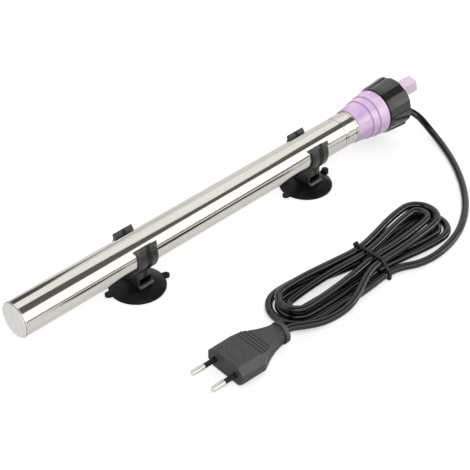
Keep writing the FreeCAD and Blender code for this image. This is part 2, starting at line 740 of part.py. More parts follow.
# A holder disc with a boss centres each end of the former in the sleeve.
low_holder = turned_piece("holder_low", [
    ("former_from - holder_gap - holder_thick", "0"),
    ("former_from - holder_gap - holder_thick", "lining_radius"),
    ("former_from - holder_gap", "lining_radius"),
    ("former_from - holder_gap", "holder_boss"),
    ("former_from", "holder_boss"),
    ("former_from", "0"),
])
high_holder = turned_piece("holder_high", [
    ("former_to", "0"),
    ("former_to", "holder_boss"),
    ("former_to + holder_gap", "holder_boss"),
    ("former_to + holder_gap", "lining_radius"),
    ("former_to + holder_gap + holder_thick", "lining_radius"),
    ("former_to + holder_gap + holder_thick", "0"),
])
together("former_end_discs", [low_holder, high_holder])

turned_piece("insulating_sleeve", [
    ("disc_thick + disc_spigot", "lining_radius"),
    ("disc_thick + disc_spigot", "sleeve_radius"),
    ("sleeve_to", "sleeve_radius"),
    ("sleeve_to", "lining_radius"),
])

# The fuse lies beside the strip, its wires along the sleeve.
fuse = new_body("thermal_fuse", "-half_length", "live_side", "axis_height - wire_drop")
turn_profile(fuse, "fuse", [
    ("former_to + holder_gap + holder_thick", "0"),
    ("former_to + holder_gap + holder_thick", "fuse_wire"),
    ("fuse_from", "fuse_wire"),
    ("fuse_from", "fuse_radius"),
    ("fuse_from + fuse_length", "fuse_radius"),
    ("fuse_from + fuse_length", "fuse_wire"),
    ("fuse_from + fuse_length + 8", "fuse_wire"),
    ("fuse_from + fuse_length + 8", "0"),
])


def route_edges(name, points, ratio=0.45):
    """Straight runs through the points, joined by tangent arcs."""
    edges = []
    radii = []
    at = points[0]
    for before, here, after in zip(points, points[1:], points[2:]):
        back = (before - here).normalize()
        on = (after - here).normalize()
        shorter = min((before - here).Length, (after - here).Length)
        half_turn = (math.pi - back.getAngle(on)) / 2
        radius = ratio * shorter / math.tan(half_turn)
        radii.append(radius)
        start = here + back * (ratio * shorter)
        end = here + on * (ratio * shorter)
        inward = (back + on).normalize()
        centre = here + inward * (radius / math.cos(half_turn))
        top = centre - inward * radius
        edges.append(Part.LineSegment(at, start).toShape())
        edges.append(Part.Arc(start, top, end).toShape())
        at = end
    edges.append(Part.LineSegment(at, points[-1]).toShape())
    print("%s: bend radii %s mm" % (name, " ".join("%.0f" % r for r in radii)))
    return edges


# Inner wires from the cord's end through the bung.
half_length = value("half_length")
cord_from = value("cap_end") - half_length - value("cord_in_gland")
cord_height = value("axis_height - gland_drop")
wire_height = value("axis_height - wire_drop")
split = value("wire_split")
bung_face = value("tube_mouth + bung_flange") - half_length
for name, away, goal, side_step in (
        ("neutral_lead", -split, value("frame_to") - half_length, -value("neutral_side")),
        ("live_lead", split, value("fuse_from + fuse_length + 8") - half_length,
         value("live_side"))):
    points = [
        V(cord_from, away, cord_height),
        V(cord_from - 7, away, cord_height),
        V(bung_face + 4, side_step, wire_height),
        V(goal, side_step, wire_height),
    ]
    tube_along(name, route_edges(name, points, 0.3), value("wire_radius"))

# The gland grips the cord in the wall and tapers outside it.
turned_piece("cord_gland", [
    ("wall_at", "cord_radius"),
    ("wall_at", "gland_radius"),
    ("cap_end", "gland_radius"),
    ("cap_end", "gland_flange"),
    ("cap_end + gland_flange_thick", "gland_flange"),
    ("cap_end + gland_flange_thick", "gland_flange - 0.6"),
    ("cap_end + gland_proud", "gland_tip_radius"),
    ("cap_end + gland_proud", "cord_radius"),
], "(-gland_drop)")

# The cord's lead from the gland to the bundle.
layer_low = value("layer_low")
waist_x = value("waist_x")
waist_y = value("waist_y")
cord_radius = value("cord_radius")
bundle_start = V(waist_x, waist_y - value("2.5 * strand_pitch"), layer_low)
lead_points = [
    V(cord_from, 0, cord_height),
    V(183.0, 0.0, cord_height),
    V(191.8, -9.5, 15.5),
    V(191.6, -27.0, 5.6),
    V(184.0, -46.0, cord_radius),
    V(169.5, -68.5, cord_radius),
    V(150.0, -91.0, cord_radius),
    V(128.5, -108.5, cord_radius),
    V(103.5, -120.5, cord_radius),
    V(78.0, -124.8, cord_radius),
    V(58.5, -122.5, cord_radius + 0.2),
    V(45.0, -115.3, cord_radius + 0.6),
    bundle_start,
]
tube_along("cord_lead", route_edges("cord_lead", lead_points), cord_radius)


# The bundle: loops that spiral in on the lower layer and out on the upper one.
def eased(k):
    k = min(max(k, 0.0), 1.0)
    return k * k * (3 - 2 * k)


TURNS = 4.0
CLIMB_FROM = 2.25
CLIMB_TO = 2.45
outer = value("loop_outer")
inner = value("loop_inner")
second = inner + value("loop_growth")
third = second + value("loop_growth_next")
last = third + value("loop_growth_last")
opening = [(0, outer), (CLIMB_FROM, inner), (2.75, second), (3.25, third), (TURNS, last)]


def half_width(turn):
    """Half width of the loop after so many turns."""
    for (a, width_a), (b, width_b) in zip(opening, opening[1:]):
        if turn <= b:
            return width_a + (width_b - width_a) * (turn - a) / (b - a)
    return last


def place_in_tie(turn):
    """Pitches from the bundle's middle to where the tie holds the cord."""
    if turn < 0.25:
        return 2.5
    if turn < 1.25:
        return 1.5
    if turn < 3.25:
        return 0.5
    return 1.5


def bundle_point(turn):
    """Point of the bundle after so many turns, counted from the tie."""
    reach = half_width(turn)
    quarter = int(turn % 1.0 * 4)
    along = turn % 1.0 * 4 - quarter
    left = quarter in (0, 1)
    run = value_left if left else value_right
    if quarter in (1, 3):
        along = 1 - along
    straight = run / (run + math.pi * reach / 2)
    if along < straight:
        away, aside, share = along / straight * run, reach, 1.0
    else:
        angle = (along - straight) / (1 - straight) * math.pi / 2
        away = run + reach * math.sin(angle)
        aside = reach * math.cos(angle)
        share = math.cos(angle)
    x = waist_x - away if left else waist_x + away
    side_sign = -1 if quarter in (0, 3) else 1
    held = place_in_tie(turn) * strand_pitch
    drawn = (reach - held) * math.exp(-((x - waist_x) / waist_reach) ** 2) * share
    if left:
        skew = lobe_skew
    else:
        skew = skew_low if turn < CLIMB_TO else skew_high
    middle = waist_y + skew * eased(away / run)
    height = layer_low + layer_step * eased((turn - CLIMB_FROM) / (CLIMB_TO - CLIMB_FROM))
    return V(x, middle + side_sign * (aside - drawn), height)


value_left = value("left_run")
value_right = value("right_run")
strand_pitch = value("strand_pitch")
waist_reach = value("waist_reach")
lobe_skew = value("lobe_skew")
skew_low = value("lobe_skew_low")
skew_high = value("lobe_skew_high")
layer_step = value("layer_step")


def heading_at(turn):
    step = 0.002
    return (bundle_point(min(turn + step, TURNS - 1e-9))
            - bundle_point(max(turn - step, 0))).normalize()


def two_arcs(a, ta, b, tb):
    """Two arcs that leave a along ta, meet tangent to each other and reach b along tb."""
    chord = b - a
    both = ta + tb
    p = chord.dot(both)
    q = 2 * (1 - ta.dot(tb))
    if q < 1e-9:
        reach = chord.dot(chord) / (2 * p)
    else:
        reach = (-p + math.sqrt(p * p + q * chord.dot(chord))) / q
    meet = (a + ta * reach + b - tb * reach) * 0.5
    edges = []
    for start, tangent, end in ((a, ta, meet), (meet, None, b)):
        if tangent is None:
            tangent = (b - tb * reach - meet).normalize()
        gap = end - start
        if gap.cross(tangent).Length < 1e-4 * gap.Length:
            edges.append(Part.LineSegment(start, end).toShape())
            continue
        normal = gap.cross(tangent).cross(tangent)
        normal = normal.normalize() * -1
        if normal.dot(gap) < 0:
            normal = normal * -1
        radius = gap.dot(gap) / (2 * gap.dot(normal))
        centre = start + normal * radius
        middle = (start + end) * 0.5
        top = centre + (middle - centre).normalize() * radius
        edges.append(Part.Arc(start, top, end).toShape())
    return edges


# Stations where the loop changes from run to bend, and between them.
stations = []
for turn in range(int(TURNS)):
    for quarter in range(4):
        run = value_left if quarter in (0, 1) else value_right
        reach = half_width(turn + quarter / 4)
        straight = run / (run + math.pi * reach / 2)
        shares = (0, 0.22, 0.45, 0.7, 0.93) if quarter in (0, 2) else (0, 0.07, 0.3, 0.55, 0.78)
        marks = [s * straight for s in shares] if quarter in (0, 2) else \
                [1 - s * straight for s in (0.93, 0.7, 0.45, 0.22)]
        if quarter in (0, 2):
            marks += [straight + (1 - straight) * s for s in (0.25, 0.62)]
        else:
            marks = [0] + [(1 - straight) * s for s in (0.38, 0.75)] + marks
        stations += [turn + (quarter + m) / 4 for m in marks]
stations.append(TURNS - 1e-9)

arrival = (lead_points[-1] - lead_points[-2]).normalize()
hank_edges = []
for a, b in zip(stations, stations[1:]):
    ta = arrival if a == 0 else heading_at(a)
    hank_edges += two_arcs(bundle_point(a), ta, bundle_point(b), heading_at(b))
tube_along("cord_hank", hank_edges, cord_radius)
tight = [e.Curve.Radius for e in hank_edges if hasattr(e.Curve, "Radius")]
points = []
for edge in hank_edges:
    points += edge.discretize(Distance=2.0)[:-1]
lengths = [0.0]
for a, b in zip(points, points[1:]):
    lengths.append(lengths[-1] + (b - a).Length)
nearest = min((points[i] - points[j]).Length
              for i in range(len(points)) for j in range(i + 1, len(points))
              if lengths[j] - lengths[i] > 16)
print("cord_hank: tightest bend %.1f mm, least gap to itself %.2f mm"
      % (min(tight), nearest - 2 * cord_radius))

# The tail from the bundle to the plug.
plug_point = V(value("plug_x"), value("plug_y"), value("plug_z"))
plug_turn = math.radians(value("plug_turned"))
plug_way = V(-math.cos(plug_turn), -math.sin(plug_turn), 0)
bundle_end = bundle_point(TURNS - 1e-9)
tail_points = [
    bundle_end,
    V(22.0, -108.0, layer_low + layer_step),
    V(8.0, -113.0, layer_low + layer_step),
    V(-4.0, -118.6, 9.2),
    V(-18.0, -121.6, 7.8),
    V(-36.0, -119.2, 6.8),
    V(-49.0, -112.6, 7.4),
    plug_point - plug_way * 6.0,
    plug_point,
]
tube_along("cord_tail", route_edges("cord_tail", tail_points), cord_radius)

# The tie: a flat band round the waist, with the stub of its closure.
tie = new_body("cord_tie", "waist_x", "waist_y", "0")
band = new_sketch(tie, "tie_outline", "YZ_Plane")


def wrap(around):
    """Outline round the cords in the tie, so far from the outer cords' middles."""
    outline(band, [
        ("-2.5 * strand_pitch - %s" % around, "cord_radius + clearance - %s + tie_thick" % around),
        ("1.5 * strand_pitch + %s" % around, "cord_radius + clearance - %s + tie_thick" % around),
        ("1.5 * strand_pitch + %s" % around, "layer_low + layer_step + %s" % around),
        ("-1.5 * strand_pitch - 0.41 * %s" % around, "layer_low + layer_step + %s" % around),
        ("-2.5 * strand_pitch - %s" % around, "layer_low + 0.41 * %s" % around),
    ])


wrap("(cord_radius + clearance + tie_thick)")
wrap("(cord_radius + clearance)")
pad(tie, "tie_band", band, "2 * tie_half")
stub_end = new_sketch(tie, "tie_stub_outline", "YZ_Plane")
circle(stub_end, "1.5 * strand_pitch + cord_radius + clearance + tie_thick / 2",
       "layer_low + layer_step + cord_radius + clearance + tie_thick / 2", "tie_half")
pad(tie, "tie_stub", stub_end, "3 * tie_half")

# The plug: a six-sided grip that tapers to a neck and a flange, with finger ribs and two sockets.
plug = new_body("plug_body", "plug_x", "plug_y", "plug_z", "plug_turned")
top_view = new_sketch(plug, "plug_outline", "XY_Plane")
GRIP_END = "(plug_grip_length - plug_length)"
outline(top_view, [
    ("-plug_length", "-plug_half_width + 0.6"),
    (GRIP_END, "-plug_half_width"),
    ("-flange_thick / 2", "-neck_half", "taper_radius", -1),
    ("-flange_thick / 2", "neck_half"),
    (GRIP_END, "plug_half_width", "taper_radius", -1),
    ("-plug_length", "plug_half_width - 0.6"),
])
pad(plug, "plug_slab", top_view, "2 * plug_half_thick")

# The sides slant in towards the flat panels above and below.
front_view = new_sketch(plug, "plug_facet_outline", "YZ_Plane", "1")
for side in ("", "-"):
    for face in ("", "-"):
        outline(front_view, [
            (side + "(plug_half_width - 1.5 * facet_in)", face + "(plug_half_thick + facet_down / 2)"),
            (side + "(plug_half_width + facet_in / 2)", face + "(plug_half_thick - 1.5 * facet_down)"),
            (side + "(plug_half_width + facet_in)", face + "(plug_half_thick + facet_down)"),
        ])
cut(plug, "plug_facets", front_view, "plug_length + 2")

# Seen from the side the plug thins towards the neck, and four fine grooves cross the thinning.
side_view = new_sketch(plug, "plug_thinning_outline", "XZ_Plane", "plug_half_width + 1")
for face in ("", "-"):
    outline(side_view, [
        (GRIP_END, face + "plug_half_thick"),
        ("0", face + "(plug_half_thick + %s * plug_thinning)" % GRIP_END),
        ("0", face + "(plug_half_thick + 1)"),
        (GRIP_END, face + "(plug_half_thick + 1)"),
    ])
thinned = cut(plug, "plug_thinned", side_view, "2 * plug_half_width + 2")
half_thick = value("plug_half_thick")


def panel_edge(edge):
    heights = [abs(v.Point.z) for v in edge.Vertexes]
    back = min(v.Point.x for v in edge.Vertexes) > value(GRIP_END) - 0.1
    return min(heights) > half_thick - 0.01 and not back


round_edges(plug, "plug_rounded", thinned, "plug_round", panel_edge)
groove_view = new_sketch(plug, "plug_groove_outline", "XZ_Plane", "plug_half_width + 1")
for rib in range(4):
    start = "(rib_from + %d * rib_pitch)" % rib
    for face in ("", "-"):
        floor = face + "(plug_half_thick - plug_thinning * %s - rib_sink)"
        outline(groove_view, [
            ("%s + %s" % (GRIP_END, start), floor % start),
            ("%s + %s + rib_width" % (GRIP_END, start), floor % (start[:-1] + " + rib_width)")),
            ("%s + %s + rib_width" % (GRIP_END, start), face + "(plug_half_thick + 1)"),
            ("%s + %s" % (GRIP_END, start), face + "(plug_half_thick + 1)"),
        ])
cut(plug, "plug_grooves", groove_view, "2 * plug_half_width + 2")
turn_profile(plug, "plug_neck", [
    ("0", "0"),
    ("0", "flange_radius"),
    ("-flange_thick", "flange_radius"),
    ("-flange_thick", "neck_radius_back"),
    ("-neck_length", "neck_radius_front"),
    ("-neck_length", "0"),
])

sockets = new_sketch(plug, "plug_socket_outline", "YZ_Plane", "pin_root - plug_length")
circle(sockets, "pin_spacing / 2", "0", "pin_radius")
circle(sockets, "-pin_spacing / 2", "0", "pin_radius")
cut(plug, "plug_sockets", sockets, "pin_root + 1")

SLEEVE_IN = "(sleeve_in - plug_length)"
SLEEVE_OUT = "(pin_bare - pin_out - plug_length)"
pins = []
sleeves = []
for word_side, sign in (("left", ""), ("right", "-")):
    shift = sign + "pin_spacing / 2"
    pin = new_body("pin_" + word_side,
                   "plug_x - (%s) * sin(plug_turned)" % shift,
                   "plug_y + (%s) * cos(plug_turned)" % shift, "plug_z", "plug_turned")
    turn_profile(pin, "pin_" + word_side, [
        ("pin_root - plug_length", "0"),
        ("pin_root - plug_length", "pin_radius"),
        (SLEEVE_IN, "pin_radius"),
        (SLEEVE_IN, "core_radius"),
        (SLEEVE_OUT, "core_radius"),
        (SLEEVE_OUT, "pin_radius"),
        ("-plug_length - pin_out + pin_radius / 2", "pin_radius"),
        ("-plug_length - pin_out", "pin_radius / 2"),
        ("-plug_length - pin_out", "0"),
    ])
    pins.append(pin)
    sleeve = new_body("sleeve_" + word_side,
                      "plug_x - (%s) * sin(plug_turned)" % shift,
                      "plug_y + (%s) * cos(plug_turned)" % shift, "plug_z", "plug_turned")
    turn_profile(sleeve, "sleeve_" + word_side, [
        (SLEEVE_IN, "core_radius"),
        (SLEEVE_IN, "pin_sleeve_radius"),
        (SLEEVE_OUT, "pin_sleeve_radius"),
        (SLEEVE_OUT, "core_radius"),
    ])
    sleeves.append(sleeve)
together("plug_pins", pins)
together("pin_sleeves", sleeves)


# A clip: two sprung arms with ribs, flared lips, and a foot with a keyhole slot for the cup.
def make_clip(name, at):
    clip = new_body(name, at, "0", "axis_height")
    bore = "(tube_radius + clearance)"
    rib = "(tube_radius + clearance + clip_rib)"
    base = "(tube_radius + clearance + clip_base)"
    turn_profile(clip, name, [
        ("-clip_half", "-" + bore),
        ("-clip_half", "-" + rib + " + 0.4"),
        ("-clip_half + 0.6", "-" + rib),
        ("-clip_recess - 0.6", "-" + rib),
        ("-clip_recess", "-" + base),
        ("clip_recess", "-" + base),
        ("clip_recess + 0.6", "-" + rib),
        ("clip_half - 0.6", "-" + rib),
        ("clip_half", "-" + rib + " + 0.4"),
        ("clip_half", "-" + bore),
    ], angle="180 + 2 * clip_wrap")
    lips = new_sketch(clip, name + "_lip_outline", "YZ_Plane")
    tip = "(tube_radius + clearance + clip_rib + lip_reach)"
    for sign in ("", "-"):
        corners = []
        for radius, angle in ((bore, "clip_wrap - 9"), (rib, "clip_wrap - 9"),
                              (tip, "clip_wrap - 4"), (tip, "clip_wrap + 4"),
                              (bore, "clip_wrap + 1")):
            corners.append(("%s%s * cos(%s)" % (sign, radius, angle),
                            "%s * sin(%s)" % (radius, angle)))
        outline(lips, corners)
    pad(clip, name + "_lips", lips, "2 * clip_half")
    foot = new_sketch(clip, name + "_foot_outline", "XY_Plane", "foot_bottom - axis_height")
    outline(foot, [
        ("-foot_half_x", "-foot_half_y + 2"),
        ("-foot_half_x + 2", "-foot_half_y", "2", 1),
        ("foot_half_x - 2", "-foot_half_y"),
        ("foot_half_x", "-foot_half_y + 2", "2", 1),
        ("foot_half_x", "foot_half_y - 2"),
        ("foot_half_x - 2", "foot_half_y", "2", 1),
        ("-foot_half_x + 2", "foot_half_y"),
        ("-foot_half_x", "foot_half_y - 2", "2", 1),
    ])
    pad(clip, name + "_foot", foot, "axis_height - foot_bottom - tube_radius", middle=False)
    clear = new_sketch(clip, name + "_bore_outline", "YZ_Plane", "clip_half")
    circle(clear, "0", "0", bore)
    cut(clip, name + "_bore", clear)
    for what, radius, top, low in (
            ("head", "(head_radius + clearance)", "head_top + clearance", "head_bottom - clearance"),
            ("neck", "(neck_radius + clearance)", "head_bottom - clearance", "foot_bottom - 1")):
        slot = new_sketch(clip, name + "_" + what + "_outline", "XY_Plane",
                          "%s - axis_height" % top)
        outline(slot, [
            ("-" + radius, "-foot_half_y - 1"),
            (radius, "-foot_half_y - 1"),
            (radius, "0"),
            ("-" + radius, "0", radius + " + 0.0001", 1),
        ])
        cut(clip, name + "_" + what + "_slot", slot, "%s - (%s)" % (top, low))
    return clip


make_clip("tube_clip_near", "clip_near_at")
make_clip("tube_clip_far", "clip_far_at")


# A cup: a soft dome on a rim, a neck and a head for the clip's slot, two pull tabs.
def make_cup(name, at, turn, raised_nub):
    cup = new_body(name, at, "0", "0", turn)
    turn_profile(cup, name, [
        ("0", "cup_hollow"),
        ("cup_radius - cup_land", "0",
         "((cup_radius - cup_land)^2 + cup_hollow^2) / (2 * cup_hollow) + 0.001", -1),
        ("cup_radius", "0"),
        ("cup_radius", "cup_edge"),
        ("crown_radius", "cup_crown", "1.5 * cup_radius", 1),
        ("neck_radius", "cup_crown"),
        ("neck_radius", "head_bottom"),
        ("head_radius", "head_bottom"),
        ("head_radius", "head_top - 1"),
        ("head_radius - 1", "head_top"),
        ("0", "head_top"),
    ], axis="V_Axis")
    tab = new_sketch(cup, name + "_tab_outline", "XY_Plane")
    outline(tab, [
        ("cup_radius - 0.8", "-tab_half"),
        ("tab_reach - tab_half", "-tab_half"),
        ("tab_reach - tab_half", "tab_half", "tab_half + 0.0001", 1),
        ("cup_radius - 0.8", "tab_half"),
    ])
    first = pad(cup, name + "_tab", tab, "tab_thick", middle=False)
    both = cup.newObject("PartDesign::PolarPattern", name + "_tabs")
    both.Originals = [first]
    both.Axis = ([f for f in cup.Origin.OriginFeatures if f.Role == "Z_Axis"][0], [""])
    both.Angle = 360
    both.Occurrences = 2
    cup.Tip = both
    doc.recompute()
    if raised_nub:
        nub = new_sketch(cup, name + "_nub_outline", "XY_Plane")
        circle(nub, "tab_reach - tab_half", "0", "nub_radius")
        raised = pad(cup, name + "_nub", nub, "nub_rise", middle=False)
        rise = value("nub_rise")
        round_edges(cup, name + "_nub_rounded", raised, "nub_radius / 2",
                    lambda e: min(v.Point.z for v in e.Vertexes) > rise - 0.01
                    and min(v.Point.x for v in e.Vertexes) > value("cup_radius") - 2)
    return cup


make_cup("suction_cup_near", "clip_near_at", "near_cup_turned", False)
make_cup("suction_cup_far", "clip_far_at", None, True)

# Write each finished piece.
doc.recompute()
parts_of_groups = ("strip_block", "blade_block", "holder_low", "holder_high",
                   "pin_left", "pin_right", "sleeve_left", "sleeve_right")
nodes = []
for thing in doc.Objects:
    if "Invalid" in thing.State or "Error" in thing.State:
        raise RuntimeError(thing.Name + " did not build")
    whole = thing.TypeId in ("PartDesign::Body", "Part::Compound", "Part::Feature")
    if whole and thing.Name not in parts_of_groups:
        nodes.append(thing)
os.makedirs("parts", exist_ok=True)
for node in nodes:
    node.Label = node.Name
    shape = node.Shape
    if not shape.isValid() or shape.Volume <= 0:
        raise RuntimeError(node.Name + " is not a valid solid")
    shape.exportStep("parts/" + node.Name + ".step")
    print("%s: %d solid(s), %.0f mm3" % (node.Name, len(shape.Solids), shape.Volume))
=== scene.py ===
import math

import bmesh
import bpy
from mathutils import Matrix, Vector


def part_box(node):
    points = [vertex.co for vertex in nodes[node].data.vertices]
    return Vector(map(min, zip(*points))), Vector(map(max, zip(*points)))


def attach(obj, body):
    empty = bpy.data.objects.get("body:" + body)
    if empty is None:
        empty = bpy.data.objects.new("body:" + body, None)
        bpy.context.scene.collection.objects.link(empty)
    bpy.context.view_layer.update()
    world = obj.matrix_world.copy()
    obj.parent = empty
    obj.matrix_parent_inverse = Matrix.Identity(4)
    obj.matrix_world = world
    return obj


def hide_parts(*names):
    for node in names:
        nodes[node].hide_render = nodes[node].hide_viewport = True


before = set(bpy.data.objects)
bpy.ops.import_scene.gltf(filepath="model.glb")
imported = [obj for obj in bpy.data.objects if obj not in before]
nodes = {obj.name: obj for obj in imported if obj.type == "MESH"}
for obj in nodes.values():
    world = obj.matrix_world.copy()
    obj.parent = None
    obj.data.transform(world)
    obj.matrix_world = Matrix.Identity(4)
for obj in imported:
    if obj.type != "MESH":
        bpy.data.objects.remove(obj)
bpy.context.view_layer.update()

# %% [markdown]
# # A submersible aquarium heater
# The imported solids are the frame: a steel tube, a flared collar, a screw cap, a dial knob, two
# clips with suction cups, a bundled mains cord and its plug. They could all be modelled again
# here, but they already have the right size and place. So this file gives them their finishes,
# lays the cord as one smooth curve, and adds the small things that solids leave out. Everything
# is in metres, with the tube along X and the rims of the cups on the floor.

MM = 0.001
TUBE_HEIGHT = 31 * MM
NEAR_CLIP_X, FAR_CLIP_X = -94 * MM, 74 * MM
EVEN = (1, 1, 1)
WHITE = (1, 1, 1, 1)


# %% [markdown]
# ## The camera
# The photograph looks down past the tube's blind end through a long lens, which flattens the
# object. Such a view could be found by trying. Here its place, its two angles and its lens were
# worked out from the plug's right angles and the tube's straight edges, because a solved camera
# leaves only the object itself to compare.

# %% Camera
CAMERA_PLACE = (-0.5040, -0.5097, 0.5523)
LOOK_ROUND, LOOK_DOWN = math.radians(-44.63), math.radians(38.01)
LENS, SENSOR = 96.0, 36.0


def put_in_scene(name, data):
    """Make an object that holds this data."""
    thing = bpy.data.objects.new(name, data)
    bpy.context.collection.objects.link(thing)
    return thing


view = bpy.data.cameras.new("view")
view.lens = LENS
view.sensor_width = SENSOR
camera = put_in_scene("camera", view)
camera.location = CAMERA_PLACE
camera.rotation_euler = (math.pi / 2 - LOOK_DOWN, 0, LOOK_ROUND)
bpy.context.scene.camera = camera
bpy.context.scene.view_settings.view_transform = "Standard"
print("camera at", CAMERA_PLACE, "with a lens of", LENS, "mm")

# %% [markdown]
# ## The free stretch of the cord
# The cord leaves the gland below the knob, falls to the floor in one bend and sweeps back to
# its bundle. A simulated rope would fall in some other way each time, so this stretch is a list
# of points in millimetres, read off the photograph with the camera above.

# %% Points from the gland to the tie
LEAD_POINTS = [
    (167.8, 0.0, 18.8),
    (183.0, 0.0, 18.8),
    (191.8, -9.5, 15.5),
    (191.6, -27.0, 5.6),
    (184.0, -46.0, 2.8),
    (169.5, -68.5, 2.8),
    (150.0, -91.0, 2.8),
    (128.5, -108.5, 2.8),
    (103.5, -120.5, 2.8),
    (78.0, -124.8, 2.8),
    (58.5, -122.5, 3.0),
    (45.0, -115.3, 3.4),
]
print(len(LEAD_POINTS), "points to the tie")

# %% [markdown]
# ## The bundle
# The rest is wound four times into a long bundle that a tie pinches at its waist. Dozens of
# points set by hand would be hard to keep apart, but the turns are regular, so a formula lays
# them: each turn is a run, a half circle, a run and a half circle, spiralling in on the lower
# layer and out again on the upper one. These are its sizes in millimetres. OPENING holds the
# loop's half width after so many turns, and HELD_AT says up to which turn a strand is held how
# many strands away from the middle of the tie. The skews move the loops' ends sideways.

# %% Sizes of the bundle
TIE_X, TIE_Y = 33.0, -97.5
LEFT_RUN, RIGHT_RUN = 68.0, 59.0
CLIMB_FROM, CLIMB_TO, TURNS = 2.25, 2.45, 4.0
LAYER_LOW, LAYER_STEP = 3.75, 6.3
LAYER_HIGH = LAYER_LOW + LAYER_STEP
OPENING = [(0, 21.0), (CLIMB_FROM, 5.6), (2.75, 6.6), (3.25, 12.4), (TURNS, 14.8)]
HELD_AT = [(0.25, 2.5), (1.25, 1.5), (3.25, 0.5), (TURNS, 1.5)]
STRAND_PITCH, WAIST_REACH = 6.3, 26.0
SKEW_LEFT, SKEW_LOW, SKEW_HIGH = 5.0, -3.0, 5.0
print("bundle of", TURNS, "turns round a tie at", TIE_X, TIE_Y)


# %% Width of a loop
def eased(k):
    """From 0 to 1 with a gentle start and end."""
    k = min(max(k, 0.0), 1.0)
    return k * k * (3 - 2 * k)


def half_width(turn):
    """Half the width of the loop after so many turns."""
    for (a, width_a), (b, width_b) in zip(OPENING, OPENING[1:]):
        if turn <= b:
            return width_a + (width_b - width_a) * (turn - a) / (b - a)


def straight_part(run, turn):
    """How much of a quarter turn is straight."""
    return run / (run + math.pi * half_width(turn) / 2)


print("loops from", half_width(0), "down to", half_width(CLIMB_FROM), "mm on each side")


# %% Point of the bundle
def bundle_point(turn):
    """Point of the bundle after so many turns, counted from the tie."""
    quarter = int(turn % 1.0 * 4)
    along = turn % 1.0 * 4 - quarter
    left = quarter in (0, 1)
    if quarter in (1, 3):
        along = 1 - along
    run = LEFT_RUN if left else RIGHT_RUN
    reach = half_width(turn)
    straight = straight_part(run, turn)
    if along < straight:
        away, share = along / straight * run, 1.0
    else:
        angle = (along - straight) / (1 - straight) * math.pi / 2
        away, share = run + reach * math.sin(angle), math.cos(angle)
    x = TIE_X - away if left else TIE_X + away
    held = next(strands for end, strands in HELD_AT if turn <= end) * STRAND_PITCH
    drawn = (reach - held) * math.exp(-((x - TIE_X) / WAIST_REACH) ** 2) * share
    right_skew = SKEW_LOW if turn < CLIMB_TO else SKEW_HIGH
    skew = SKEW_LEFT if left else right_skew
    side = -1 if quarter in (0, 3) else 1
    y = TIE_Y + skew * eased(away / run) + side * (reach * share - drawn)
    climbed = (turn - CLIMB_FROM) / (CLIMB_TO - CLIMB_FROM)
    return (x, y, LAYER_LOW + LAYER_STEP * eased(climbed))


print("first point", [round(c, 1) for c in bundle_point(0)])

# %% Points of all turns
STOPS_ON_RUN, STOPS_ON_BEND = (0, 0.35, 0.7, 1.0), (0.33, 0.67)
bundle = []
for quarter in range(int(TURNS * 4)):
    turn = quarter / 4
    straight = straight_part(LEFT_RUN if quarter % 4 in (0, 1) else RIGHT_RUN, turn)
    marks = [stop * straight for stop in STOPS_ON_RUN]
    marks += [straight + (1 - straight) * stop for stop in STOPS_ON_BEND]
    if quarter % 2:
        marks = [0] + sorted(1 - m for m in marks if m > 0)
    bundle += [bundle_point(turn + m / 4) for m in marks]
print(len(bundle), "points in", TURNS, "turns")

# %% [markdown]
# ## The tail
# From the tie the cord comes down off the bundle, runs round its end and into the plug's neck.
# It is another free stretch, so it is a list again. The plug's place and turn are kept beside
# it, because the panel on the plug needs them later.

# %% Points from the tie to the plug
PLUG_PLACE = Vector((-63.8, -107.0, 8.0))
PLUG_TURN = math.radians(-2.7)
TAIL_POINTS = [
    (33.0, -107.0, LAYER_HIGH),
    (22.0, -108.0, LAYER_HIGH),
    (8.0, -113.0, LAYER_HIGH),
    (-4.0, -118.6, 9.2),
    (-18.0, -121.6, 7.8),
    (-36.0, -119.2, 6.8),
    (-49.0, -112.6, 7.4),
    (-57.8, -107.3, 8.0),
    tuple(PLUG_PLACE),
]
route = [Vector(p) * MM for p in LEAD_POINTS + bundle + TAIL_POINTS]
print("route of", len(route), "points")

# %% [markdown]
# ## The cord
# The cord is a round sheathed cable. A swept mesh would do, but a curve with a bevel stays one
# smooth line from the gland to the plug, and its length can be measured. Its order is set after
# the points, because a spline starts with too few of them to be round. Blender widens a curve's
# box by the radius of its points, a metre unless told otherwise, so the cord's radius sits on
# the points and the bevel only multiplies it by one.

# %% Cord curve
CORD_RADIUS, CORD_LENGTH = 2.75 * MM, 1.680
cord_line = bpy.data.curves.new("mains_cord", "CURVE")
cord_line.dimensions = "3D"
cord_line.bevel_depth = 1.0
cord_line.bevel_resolution = 6
cord_line.resolution_u = 8
spline = cord_line.splines.new("NURBS")
spline.points.add(len(route) - 1)
for point, place in zip(spline.points, route):
    point.co = (*place, 1.0)
    point.radius = CORD_RADIUS
spline.order_u = 3
spline.use_endpoint_u = True
cord = put_in_scene("mains_cord", cord_line)
print("cord drawn through", len(spline.points), "points")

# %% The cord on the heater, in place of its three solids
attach(cord, "heater")
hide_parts("cord_lead", "cord_hank", "cord_tail")
print("cord of", CORD_LENGTH, "m")

# %% [markdown]
# ## Writing finishes as sums
# A material is a net of nodes. It could be wired by hand in the shader editor, but then nobody
# sees what it computes. So one small class wraps a node's output and lets sums be written as
# sums, and another makes any other node with one method. The floor, the sky and the cards use
# the same net as the finishes.


# %% A node's output in a sum
class Wire:
    """One output of a node."""

    def __init__(self, net, socket):
        self.net = net
        self.socket = socket

    def __add__(self, other):
        return self.net.maths("ADD", self, other)

    def __radd__(self, other):
        return self.net.maths("ADD", other, self)

    def __sub__(self, other):
        return self.net.maths("SUBTRACT", self, other)

    def __rsub__(self, other):
        return self.net.maths("SUBTRACT", other, self)

    def __mul__(self, other):
        return self.net.maths("MULTIPLY", self, other)

    def __rmul__(self, other):
        return self.net.maths("MULTIPLY", other, self)


print("sums ready")


